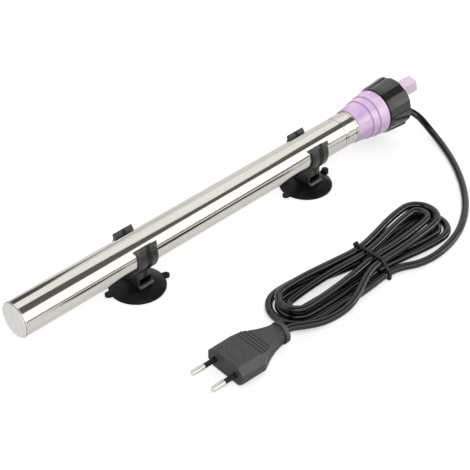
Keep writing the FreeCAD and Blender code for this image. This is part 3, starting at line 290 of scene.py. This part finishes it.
# %% A net of nodes
class Net:
    """The nodes of a material or a world, without the ones it starts with unless kept."""

    def __init__(self, owner, keep=False):
        owner.use_nodes = True
        self.tree = owner.node_tree
        if not keep:
            self.tree.nodes.clear()

    def feed(self, socket, value):
        """Link a wire to a socket, or set the socket's own value."""
        if isinstance(value, Wire):
            self.tree.links.new(value.socket, socket)
        else:
            socket.default_value = value

    def node(self, kind, settings=None, output=0, **values):
        """Make a node: settings first, then its inputs by name, or as i0 and i1 by number."""
        node = self.tree.nodes.new("ShaderNode" + kind)
        for name, value in (settings or {}).items():
            setattr(node, name, value)
        for name, value in values.items():
            by_number = name[0] == "i" and name[1:].isdigit()
            key = int(name[1:]) if by_number else name.replace("_", " ")
            self.feed(node.inputs[key], value)
        return Wire(self, node.outputs[output]) if node.outputs else None

    def maths(self, operation, *numbers):
        """A Math node on numbers or wires."""
        inputs = {"i" + str(k): number for k, number in enumerate(numbers)}
        return self.node("Math", {"operation": operation}, **inputs)


print("nets ready")

# %% [markdown]
# ## What every finish needs
# Real surfaces are never one even tone: steel has streaks, a moulding has flow marks, rubber has
# dull spots. Painted pictures could carry that, but they need a flat layout of each piece. A
# noise that follows the piece's own place needs none, and stretched along one way it turns from
# spots into streaks. Where a groove is only tenths of a millimetre deep, a narrow band of painted
# shade along X darkens it, so that it can be seen from afar.


# %% A colour
def colour(red, green, blue):
    """A colour read off a screen, as the shader wants it."""
    parts = [c / 255 for c in (red, green, blue)]
    return tuple(((c + 0.055) / 1.055) ** 2.4 if c > 0.04 else c / 12.92 for c in parts) + (1.0,)


print("screen white is", colour(255, 255, 255))


# %% A finish
class Finish(Net):
    """A material with one main shader, whose inputs take numbers or wires."""

    def __init__(self, name, **values):
        self.material = bpy.data.materials.new(name)
        super().__init__(self.material, keep=True)
        self.shader = self.tree.nodes["Principled BSDF"]
        self.put(**values)

    def put(self, **values):
        """Set inputs of the main shader; an underscore stands for a space."""
        for name, value in values.items():
            self.feed(self.shader.inputs[name.replace("_", " ")], value)

    def place(self):
        """Where a point is on the object."""
        return self.node("TexCoord", output="Object")

    def noise(self, scale, stretch=EVEN, detail=3.0):
        """Soft spots, so many to a metre, drawn out where the stretch is small."""
        where = self.node("Mapping", Vector=self.place(), Scale=stretch)
        return self.node("TexNoise", Vector=where, Scale=scale, Detail=detail)

    def band(self, middle, half):
        """One at a place along X, falling to nothing half a width away."""
        x = self.node("SeparateXYZ", Vector=self.place())
        away = self.maths("ABSOLUTE", x - middle)
        return self.node("MapRange", Value=away, From_Max=half, To_Min=1.0, To_Max=0.0)

    def blend(self, mask, low, high):
        """Two colours mixed by a mask."""
        return self.node("Mix", {"data_type": "RGBA"}, output=2, i0=mask, i6=low, i7=high)

    def tint(self, mask, low, high):
        """Mix two colours by a mask and feed the base colour."""
        self.put(Base_Color=self.blend(mask, low, high))

    def bump(self, height, strength, distance=0.4 * MM):
        """Raise the surface where a wire is high, for the light only."""
        self.put(Normal=self.node("Bump", Height=height, Strength=strength, Distance=distance))

    def mottle(self, scale, dark, light, dull, swing=0, relief=0, **kind):
        """One noise for the tone, for how dull the surface is, and for its relief."""
        spots = self.noise(scale, **kind)
        self.tint(spots, colour(*dark), colour(*light))
        self.put(Roughness=dull + spots * swing if swing else dull)
        if relief:
            self.bump(spots, relief)


print("finishes ready")


# %% Giving a finish to solids
def dress(finish, *names):
    """Put a finish on pieces of the frame."""
    for name in names:
        slots = nodes[name].data.materials
        slots.clear()
        slots.append(finish.material)
    print(finish.material.name, "on", ", ".join(names))


# %% [markdown]
# ## Steel of the tube
# The tube is drawn steel, polished along its length, so what it mirrors is pulled into long
# bands with faint streaks. A glossy shader alone would look like chrome. A noise stretched
# hard along X gives the streaks, and two narrow bands of painted shade darken the steel at the
# rolled rings near the collar.

# %% Polished steel
LENGTHWISE = (0.02, 1, 1)
# places and half widths of the painted shade at the two rolled rings
RING_NEAR, RING_FAR = (104.3 * MM, 0.5 * MM), (116.0 * MM, 0.4 * MM)
RING_SHADE = 0.7
polished = Finish("polished_steel", Metallic=1.0)
streaks = polished.noise(scale=900, stretch=LENGTHWISE, detail=4)
bright = polished.blend(streaks, colour(218, 214, 204), colour(238, 235, 227))
# painted shade: narrow dark bands along the two rolled rings near the collar
rings = polished.band(*RING_NEAR) + polished.band(*RING_FAR)
polished.tint(rings * RING_SHADE, bright, colour(120, 114, 106))
polished.put(Roughness=0.07 + streaks * 0.06)
polished.bump(streaks, strength=0.012)
dress(polished, "sheath_tube")

# %% [markdown]
# ## Steel of the blind end
# The disc in the blind end is brushed, so it is lighter and duller than the tube and mirrors
# nothing sharply. The same noise could serve, but here it is stretched along Z, because the
# brush went up and down across the disc.

# %% Satin steel
UP_AND_DOWN = (1, 1, 0.06)
satin = Finish("satin_steel", Metallic=1.0)
satin.mottle(scale=500, dark=(222, 221, 217), light=(246, 245, 242), dull=0.28, swing=0.16,
             relief=0.08, stretch=UP_AND_DOWN, detail=5)
dress(satin, "end_disc")

# %% [markdown]
# ## Lavender collar
# The collar is a milky dyed plastic that lets a little light in, with flow marks along the
# mould. Plain glossy paint would look too hard. So some light scatters under the surface, a
# broad noise drawn out along X shifts the tone, a fine one roughens the shine, and two bands
# of painted shade darken the collar along its steps.

# %% Collar
# places and half widths of the painted shade along the collar's two steps
STEP_NEAR, STEP_FAR = (132.1 * MM, 1.1 * MM), (139.1 * MM, 1.1 * MM)
STEP_SHADE, FLOW_LOW, FLOW_GAIN = 0.55, 0.3, 2.5
lavender = Finish("lavender_plastic", Coat_Weight=0.15, Coat_Roughness=0.2,
                  Subsurface_Weight=0.25, Subsurface_Radius=(0.9, 0.7, 0.9),
                  Subsurface_Scale=3 * MM)
flow = lavender.noise(scale=110, stretch=(0.22, 1, 1))
grain = lavender.noise(scale=1600, detail=2)
milky = lavender.blend((flow - FLOW_LOW) * FLOW_GAIN, colour(190, 148, 200), colour(240, 214, 242))
# painted shade: dark bands along the collar's two steps
steps = lavender.band(*STEP_NEAR) + lavender.band(*STEP_FAR)
lavender.tint(steps * STEP_SHADE, milky, colour(160, 116, 172))
lavender.put(Roughness=0.26 + grain * 0.12)
lavender.bump(grain, strength=0.05)
dress(lavender, "collar")

# %% [markdown]
# ## Pale knob
# The knob is a paler moulding of the same plastic. It is small and thick, so scattered light
# would cost time and show nothing; one fine noise for tone and shine is enough.

# %% Knob
pale = Finish("pale_lavender_plastic", Coat_Weight=0.15, Coat_Roughness=0.2)
pale.mottle(scale=900, dark=(214, 186, 215), light=(234, 209, 235), dull=0.3, swing=0.12,
            relief=0.08, detail=2)
dress(pale, "temperature_knob")

# %% [markdown]
# ## Glossy cap
# The screw cap is a hard black moulding with a polished face, so its lands mirror the room.
# One noise for everything would tie its tone to its shine. Two noises keep them apart: a
# cloudy one for the tone, a fine one for the shine under a clear coat.

# %% Cap
gloss = Finish("black_gloss", Coat_Weight=0.6, Coat_Roughness=0.06)
cloud = gloss.noise(scale=60)
grain = gloss.noise(scale=900, detail=2)
gloss.tint(cloud, colour(16, 15, 14), colour(36, 34, 31))
gloss.put(Roughness=0.14 + grain * 0.14)
gloss.bump(grain, strength=0.06)
dress(gloss, "cap")

# %% [markdown]
# ## Clips and plug
# The clips are satin nylon with a sheen on their ribs, and the plug is a greyer, duller
# moulding. One black for both would lose that. The clips get a clear coat that fades out in
# the recess between their ribs, where little light arrives.

# %% Clips
RECESS, COAT = 2.6 * MM, 0.95
clip_black = Finish("clip_black", Specular_IOR_Level=0.12, Coat_Roughness=0.3)
clip_black.mottle(scale=1200, dark=(10, 10, 10), light=(24, 24, 23), dull=0.33, swing=0.18,
                  relief=0.1)
recess = clip_black.band(NEAR_CLIP_X, RECESS) + clip_black.band(FAR_CLIP_X, RECESS)
clip_black.put(Coat_Weight=COAT - recess * COAT)
dress(clip_black, "tube_clip_near", "tube_clip_far")

# %% Plug
plug_black = Finish("plug_black")
grain = plug_black.noise(scale=1500)
plug_black.tint(grain, colour(40, 40, 41), colour(62, 62, 63))
plug_black.put(Roughness=0.5 + grain * 0.2)
plug_black.bump(grain, strength=0.3, distance=0.3 * MM)
dress(plug_black, "plug_body")

# %% [markdown]
# ## Rubber, cord sheath and tie
# The cups are soft rubber that shines only at its curves, the cord has a smooth sheath with a
# thin bright line along it, and the tie is plain nylon. They could share one black, but the
# line on the cord needs a clear coat, which would make the cups look wet.

# %% Rubber, sheath and tie
rubber = Finish("soft_rubber", Specular_IOR_Level=0.2)
rubber.mottle(scale=90, dark=(5, 5, 5), light=(14, 14, 14), dull=0.2, swing=0.2, relief=0.08)
dress(rubber, "suction_cup_near", "suction_cup_far", "cord_gland", "cap_gasket", "tube_bung",
      "spindle_o_ring")

sheath = Finish("cord_sheath", Specular_IOR_Level=0.5, Coat_Weight=0.3, Coat_Roughness=0.05)
sheath.mottle(scale=240, dark=(3, 3, 3), light=(9, 9, 9), dull=0.1, swing=0.06, relief=0.05)
cord_line.materials.append(sheath.material)

tie_black = Finish("tie_black", Specular_IOR_Level=0.3)
tie_black.mottle(scale=1400, dark=(6, 6, 6), light=(18, 18, 18), dull=0.3, swing=0.2, relief=0.1)
dress(tie_black, "cord_tie", "pin_sleeves")

# %% [markdown]
# ## Plated pins
# The pins are nickel on brass, bright but rubbed lengthwise by sockets. A plain metal would be
# too clean, so a noise drawn out along X wears the shine.

# %% Nickel
nickel = Finish("nickel", Metallic=1.0)
nickel.mottle(scale=700, dark=(222, 218, 208), light=(246, 243, 234), dull=0.14, swing=0.2,
              stretch=(0.2, 1, 1))
dress(nickel, "plug_pins")

# %% [markdown]
# ## What is inside
# Spindle, thermostat, winding and wires hide in the tube and under the cap. They could stay
# grey, but an opened copy should still read, so each material gets its colour and a fine grain.


# %% Inner finishes
INNER_GRAIN = 800


def inner(name, dark, light, dull, *where, metallic=0.0):
    """A finish for pieces inside the heater."""
    finish = Finish(name, Metallic=metallic)
    finish.mottle(INNER_GRAIN, dark, light, dull, relief=0.1)
    dress(finish, *where)


inner("brass", (190, 160, 90), (214, 186, 118), 0.28,
      "spindle_bush", "knob_spindle", "adjuster_nut", metallic=1.0)
inner("spring_steel", (150, 150, 150), (180, 180, 178), 0.32,
      "thermostat_frame", "fixed_contact_blade", "bimetal_strip", "spindle_clip", metallic=1.0)
inner("ceramic", (232, 228, 216), (244, 241, 232), 0.7,
      "insulating_blocks", "heater_former", "former_end_discs", "thermal_fuse")
inner("resistance_wire", (110, 106, 100), (142, 138, 130), 0.4, "heater_winding", metallic=1.0)
inner("mica", (196, 182, 150), (216, 204, 176), 0.6, "insulating_sleeve")
inner("magnet", (54, 54, 56), (74, 74, 76), 0.5, "thermostat_magnet", metallic=1.0)
inner("wire_brown", (92, 54, 30), (112, 68, 40), 0.35, "live_lead")
inner("wire_blue", (28, 74, 150), (40, 92, 172), 0.35, "neutral_lead")

# %% [markdown]
# ## Builders of small pieces
# A print on the dial, a mark on the knob, a bar across each clip's slot, a welded seam and a
# ring on the plug are still missing. Bumps could hint at them, but real shapes keep their edges
# close up. They share three small builders, for a bar with sloping sides, a turned profile and
# a loop with a round section. Each makes rings of corners, and one helper skins them.


# %% From corners to an object
def skin(shape, rings, closed=False):
    """Faces from ring to ring, with a lid on each end or closed on itself."""
    if closed:
        pairs = zip(rings, rings[-1:] + rings[:-1])
    else:
        shape.faces.new(rings[0])
        shape.faces.new(rings[-1])
        pairs = zip(rings, rings[1:])
    for low, high in pairs:
        for k in range(len(low)):
            shape.faces.new((low[k], low[k - 1], high[k - 1], high[k]))


def from_mesh(name, mesh, finish, rides):
    """Make a piece of a mesh: its finish, and the body that carries it."""
    mesh.materials.clear()
    mesh.materials.append(finish.material)
    piece = put_in_scene(name, mesh)
    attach(piece, rides)
    print(name, "with", len(mesh.polygons), "faces on", rides)


def from_shape(name, shape, finish, rides):
    """The same from a shape that is still being edited."""
    mesh = bpy.data.meshes.new(name)
    bmesh.ops.recalc_face_normals(shape, faces=shape.faces)
    shape.to_mesh(mesh)
    shape.free()
    from_mesh(name, mesh, finish, rides)


# %% Bar, turned profile and loop
BEVEL_FROM, BEVEL_TRIM = 0.6, 0.4


def circle(steps):
    """Cosine and sine at even steps round a circle."""
    angles = [2 * math.pi * k / steps for k in range(steps)]
    return [(math.cos(angle), math.sin(angle)) for angle in angles]


def raised_bar(shape, place, length, low_width, high_width, rise):
    """A bar along its own Y, raised along its own Z, with sloping sides."""
    rows = []
    for height, trim in ((0, 0), (rise * BEVEL_FROM, 0), (rise, rise * BEVEL_TRIM)):
        half = length / 2 - trim
        corners = [(-low_width / 2 + trim, -half), (low_width / 2 - trim, -half),
                   (high_width / 2 - trim, half), (-high_width / 2 + trim, half)]
        rows.append([shape.verts.new(place @ Vector((x, y, height))) for x, y in corners])
    skin(shape, rows)


def turned(shape, centre, profile, steps=28):
    """A profile of places along X and radii, in millimetres, turned round X."""
    move = Matrix.Translation(centre)
    rings = []
    for along, radius in [(along * MM, radius * MM) for along, radius in profile]:
        rings.append([shape.verts.new(move @ Vector((along, radius * c, radius * s)))
                      for c, s in circle(steps)])
    skin(shape, rings)


def loop(shape, path, radius, steps=10):
    """A closed tube along points, with a round section."""
    rings = []
    for i, point in enumerate(path):
        way = (path[(i + 1) % len(path)] - path[i - 1]).normalized()
        side = way.cross(Vector((0, 0, 1))).normalized()
        up = side.cross(way)
        rings.append([shape.verts.new(point + radius * (c * side + s * up))
                      for c, s in circle(steps)])
    skin(shape, rings, closed=True)


print("builders ready")

# %% [markdown]
# ## The dial
# The knob turns before a dial on the cap's far face, with small raised ticks and a number at
# every third one. A picture of the dial would blur close up. So the ticks are bars set round
# the knob's axis, and the numbers are text turned into a mesh, which stays sharp. Text lies
# flat when it is made, so it is stood up to face along X. It sits a little deeper than the
# ticks, on the cap's wall round the raised dial.

# %% Ink, and places on the dial
KNOB_HEIGHT, KNOB_SWING, STEPS_ASIDE = 37 * MM, 135, 6
dial_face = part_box("cap")[1][0]
ink = Finish("dial_ink")
ink.mottle(scale=700, dark=(196, 196, 190), light=(226, 226, 220), dull=0.45, swing=0.2)


def dial_angle(step):
    """Angle of a tick, clockwise from the top."""
    return math.radians(step * KNOB_SWING / STEPS_ASIDE)


def on_dial(angle, radius, x):
    """Frame of a mark on the dial: Y outwards, Z off the face."""
    out = Vector((0, math.sin(angle), math.cos(angle)))
    off = Vector((1, 0, 0))
    side = out.cross(off)
    turn = Matrix((side, out, off)).transposed().to_4x4()
    return Matrix.Translation(Vector((x, 0, KNOB_HEIGHT)) + radius * out) @ turn


print("dial face at", round(dial_face, 4))

# %% Ticks
NUMBERS = {-6: "18", -3: "22", 0: "26", 3: "30", 6: "34"}
LONG_TICK, SHORT_TICK = (8.75 * MM, 1.3 * MM), (8.95 * MM, 0.9 * MM)
TICK_WIDTH, TICK_RISE = 0.45 * MM, 0.15 * MM
ticks = bmesh.new()
for step in range(-STEPS_ASIDE, STEPS_ASIDE + 1):
    radius, length = LONG_TICK if step in NUMBERS else SHORT_TICK
    raised_bar(ticks, on_dial(dial_angle(step), radius, dial_face), length, TICK_WIDTH,
               TICK_WIDTH, TICK_RISE)
from_shape("dial_ticks", ticks, ink, "heater")

# %% Numbers
NUMBER_SIZE, NUMBER_RISE, NUMBER_RADIUS = 2.7 * MM, 0.08 * MM, 11.5 * MM
DIAL_OVER_WALL = 0.6 * MM
FACING_X = Matrix(((0, 0, 1), (1, 0, 0), (0, 1, 0))).to_4x4()
for step, number in NUMBERS.items():
    letters = bpy.data.curves.new("dial_" + number, "FONT")
    letters.body = number
    letters.size = NUMBER_SIZE
    letters.extrude = NUMBER_RISE
    letters.align_x = letters.align_y = "CENTER"
    writing = put_in_scene("dial_writing", letters)
    bpy.context.view_layer.update()
    depsgraph = bpy.context.evaluated_depsgraph_get()
    flat = bpy.data.meshes.new_from_object(writing.evaluated_get(depsgraph))
    bpy.data.objects.remove(writing)
    x = dial_face - DIAL_OVER_WALL + NUMBER_RISE
    centre = on_dial(dial_angle(step), NUMBER_RADIUS, x).translation
    flat.transform(Matrix.Translation(centre) @ FACING_X)
    from_mesh("dial_number_" + number, flat, ink, "heater")

# %% [markdown]
# ## Mark on the knob
# A dial needs something that points at it. On the real knob it may be a printed line or a
# moulded one, and a raised wedge with its narrow end outwards can be read from any side. It
# rides with the knob, so it turns with it.

# %% Wedge on the knob's end
MARK_RADIUS, MARK_LENGTH, MARK_RISE = 3.6 * MM, 4.4 * MM, 0.3 * MM
MARK_WIDE, MARK_NARROW, MARK_SUNK = 1.7 * MM, 0.6 * MM, 0.02 * MM
knob_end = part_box("temperature_knob")[1][0]
mark = bmesh.new()
raised_bar(mark, on_dial(0, MARK_RADIUS, knob_end - MARK_SUNK), MARK_LENGTH, MARK_WIDE,
           MARK_NARROW, MARK_RISE)
from_shape("knob_mark", mark, ink, "knob")

# %% [markdown]
# ## Bars before the clips' slots
# Each cup hangs by its head in a slot of the clip's foot, and a short ridged bar lies before
# the slot. Four grooves in a straight cylinder could be cut one by one. A profile that
# already has the grooves, turned once, gives the same bar in one go.

# %% Profile of a bar
BAR_HALF, BAR_RADIUS, TIP_RADIUS = 6.2, 2.0, 0.3
BAR_PLACE = Vector((-0.8, -10.1, 7.6)) * MM
GROOVES, GROOVE_FROM, GROOVE_PITCH, GROOVE_DEPTH = 4, -3.9, 2.2, 0.22
bar_black = Finish("bar_black", Coat_Weight=0.6, Coat_Roughness=0.15)
bar_black.mottle(scale=900, dark=(20, 20, 20), light=(40, 40, 39), dull=0.25, swing=0.2)
DOME = [(0, TIP_RADIUS), (0.15, 1.0), (0.6, BAR_RADIUS)]
GROOVE = [(0, 0), (0.2, GROOVE_DEPTH), (0.6, GROOVE_DEPTH), (0.8, 0)]

bar_profile = [(-BAR_HALF + along, radius) for along, radius in DOME]
for groove in range(GROOVES):
    start = GROOVE_FROM + groove * GROOVE_PITCH
    bar_profile += [(start + along, BAR_RADIUS - depth) for along, depth in GROOVE]
bar_profile += [(BAR_HALF - along, radius) for along, radius in reversed(DOME)]
print(len(bar_profile), "rings along a bar")

# %% A bar on each clip
for name, clip_x, rides in (("slot_bar_near", NEAR_CLIP_X, "clip_near"),
                            ("slot_bar_far", FAR_CLIP_X, "clip_far")):
    bar = bmesh.new()
    turned(bar, BAR_PLACE + Vector((clip_x, 0, 0)), bar_profile)
    from_shape(name, bar, bar_black, rides)

# %% [markdown]
# ## Seam of the welded end
# A weld joins the disc to the tube, and it shows as a dark thread round the blind end. A dark
# band in the steel would be flat. A low bead with its own rippled finish catches the light as
# the real one does.

# %% Weld
SEAM_PROFILE = [(0.55, 12.0), (0.55, 12.44), (0.75, 12.52), (1.0, 12.52), (1.2, 12.44), (1.2, 12.0)]
SEAM_STEPS = 72
weld = Finish("weld", Metallic=1.0)
weld.mottle(scale=1500, dark=(70, 62, 54), light=(120, 110, 100), dull=0.3, swing=0.2)
blind_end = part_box("end_disc")[0][0]
seam = bmesh.new()
turned(seam, (blind_end, 0, TUBE_HEIGHT), SEAM_PROFILE, SEAM_STEPS)
from_shape("weld_seam", seam, weld, "heater")

# %% [markdown]
# ## Panel on the plug
# The plug's flat side has an oval panel, edged by a thin raised line. It could be cut into
# the solid, but the line is finer than the moulding's own rounding, so a thin loop lies on
# the surface, placed and turned with the plug.

# %% Oval line
PANEL_CENTRE, PANEL_REACH, PANEL_LINE, PANEL_STEPS = (-40, 7.4), (4.6, 7.0), 0.28 * MM, 48
on_plug = Matrix.Translation(PLUG_PLACE) @ Matrix.Rotation(PLUG_TURN, 4, "Z")
oval = []
for c, s in circle(PANEL_STEPS):
    x = PANEL_CENTRE[0] + PANEL_REACH[0] * c
    oval.append(on_plug @ Vector((x, PANEL_REACH[1] * s, PANEL_CENTRE[1])) * MM)
panel = bmesh.new()
loop(panel, oval, PANEL_LINE)
from_shape("plug_oval", panel, plug_black, "heater")

# %% [markdown]
# ## The floor
# The object stands on a white studio floor that shows no horizon, only a soft shadow. A white
# floor under strong lamps would do, but it throws light up at everything. So this one is grey
# to the lamps, which keeps the shadow, and adds a glow of its own that only the camera and
# mirroring surfaces see.

# %% Floor
FLOOR_REACH, FLOOR_Z = 6, -0.4 * MM
GLOW_SEEN, GLOW_REFLECTED, FLOOR_GREY = 0.55, 0.15, (0.62, 0.62, 0.62, 1)
corners = [(x * FLOOR_REACH, y * FLOOR_REACH, FLOOR_Z)
           for x, y in ((-1, -1), (1, -1), (1, 1), (-1, 1))]
floor_mesh = bpy.data.meshes.new("floor")
floor_mesh.from_pydata(corners, [], [(0, 1, 2, 3)])
put_in_scene("floor", floor_mesh)

floor_paint = bpy.data.materials.new("floor_paint")
net = Net(floor_paint)
seen = net.node("LightPath", output="Is Camera Ray") * GLOW_SEEN
reflected = net.node("LightPath", output="Is Glossy Ray") * GLOW_REFLECTED
glow = net.node("Emission", Color=WHITE, Strength=seen + reflected)
both = net.node("AddShader", i0=net.node("BsdfDiffuse", Color=FLOOR_GREY), i1=glow)
net.node("OutputMaterial", Surface=both)
floor_mesh.materials.append(floor_paint)
print("floor laid")

# %% [markdown]
# ## The sky
# The background is pure white, but as a lamp a pure white sky would wash every shape out. The
# sky can tell who looks at it: the camera and reflections get full white, and the light that it
# gives is weaker.

# %% World
SKY_AS_LAMP, SKY_SEEN = 0.62, 1.0
world = bpy.data.worlds.new("studio")
bpy.context.scene.world = world
net = Net(world)
looked_at = net.node("LightPath", output="Is Camera Ray")
for ray in ("Is Glossy Ray", "Is Transmission Ray"):
    looked_at = net.maths("MAXIMUM", looked_at, net.node("LightPath", output=ray))
level = net.node("MapRange", Value=looked_at, To_Min=SKY_AS_LAMP, To_Max=SKY_SEEN)
net.node("OutputWorld", Surface=net.node("Background", Color=WHITE, Strength=level))
print("sky of strength", SKY_AS_LAMP, "as a lamp")

# %% [markdown]
# ## Lamps
# A studio has a key lamp on the camera's side and a fill behind. Points of light would draw
# hard shadows, so both are wide soft squares. The steel would mirror the fill as a bright
# patch that the photograph doesn't have, so reflections leave it out.


# %% Key and fill
def lamp(name, place, aim, size, power, mirrored=True):
    """A soft square lamp that looks at a point, seen in mirrors or not."""
    light = bpy.data.lights.new(name, "AREA")
    light.size = size
    light.energy = power
    body = put_in_scene(name, light)
    body.location = place
    body.rotation_euler = (Vector(aim) - Vector(place)).to_track_quat("-Z", "Y").to_euler()
    body.visible_glossy = mirrored


lamp("key", (-0.5, -0.9, 1.3), aim=(0, -0.03, 0), size=0.55, power=9)
lamp("fill", (0.9, 0.5, 1.2), aim=(0, 0, 0), size=1.0, power=6, mirrored=False)
print("key and fill stand")

# %% [markdown]
# ## Cards for the steel
# Polished steel shows what stands round it. A studio hangs white cloth and dark boards round a
# tube, and they turn into the long bands on it. One plain room would leave the tube flat, so
# the cards are built too, and only reflections see them. Each is a strip along X given by
# rows: a place along X and two angles round the tube, counted up from the front, so that its
# edges may run a little askew.


# %% A card
def card(name, rows, strength, distance=1.5, tone=WHITE):
    """A strip of cloth or board that only reflections see."""
    corners = []
    for x, low, high in rows:
        for angle in (math.radians(low), math.radians(high)):
            up = TUBE_HEIGHT + distance * math.sin(angle)
            corners.append((x, -distance * math.cos(angle), up))
    faces = [(i, i + 2, i + 3, i + 1) for i in range(0, len(corners) - 2, 2)]
    mesh = bpy.data.meshes.new(name)
    mesh.from_pydata(corners, [], faces)
    piece = put_in_scene(name, mesh)
    piece.visible_camera = piece.visible_diffuse = False
    piece.visible_shadow = piece.visible_transmission = False
    paint = bpy.data.materials.new(name)
    net = Net(paint)
    net.node("OutputMaterial", Surface=net.node("Emission", Color=tone, Strength=strength))
    mesh.materials.append(paint)
    print(name, "at", distance, "m")


# %% Dark boards
BROWN = (1, 0.93, 0.86, 1)
BOARD_GLOW, BOARD_BEHIND_GLOW = 0.12, 0.09
CARD_END = 3.0
card("board_above", [(-CARD_END, 52.5, 93), (0.49, 52.5, 92), (0.67, 53, 90), (0.85, 57, 80.5),
                     (0.98, 58, 79.5), (1.13, 58, 83), (1.19, 59, 88), (1.34, 60, 93),
                     (CARD_END, 60, 94)], BOARD_GLOW, tone=BROWN)
card("board_low", [(-CARD_END, -7, 2.5), (0.12, -7, 2.5), (0.28, -6, 4), (0.36, -3.5, 7),
                   (0.47, 5, 12), (CARD_END, 5, 12)], BOARD_GLOW, 0.45, BROWN)
card("board_behind", [(0.10, 139, 177), (0.27, 140, 176), (0.34, 150, 166), (0.41, 156, 162),
                      (0.60, 158, 160)], BOARD_BEHIND_GLOW, 1.0, BROWN)

# %% White cloths
card("cloth_front", [(-CARD_END, 2.5, 51.5), (0.67, 2.5, 52), (0.98, 4, 57), (1.13, 7, 57),
                     (1.34, 12, 59), (CARD_END, 12, 59)], strength=1.35)
card("cloth_bright", [(-CARD_END, 14, 44), (CARD_END, 14, 44)], strength=8.0, distance=1.45)
card("cloth_behind", [(-CARD_END, 134, 178), (CARD_END, 134, 178)], strength=0.78)
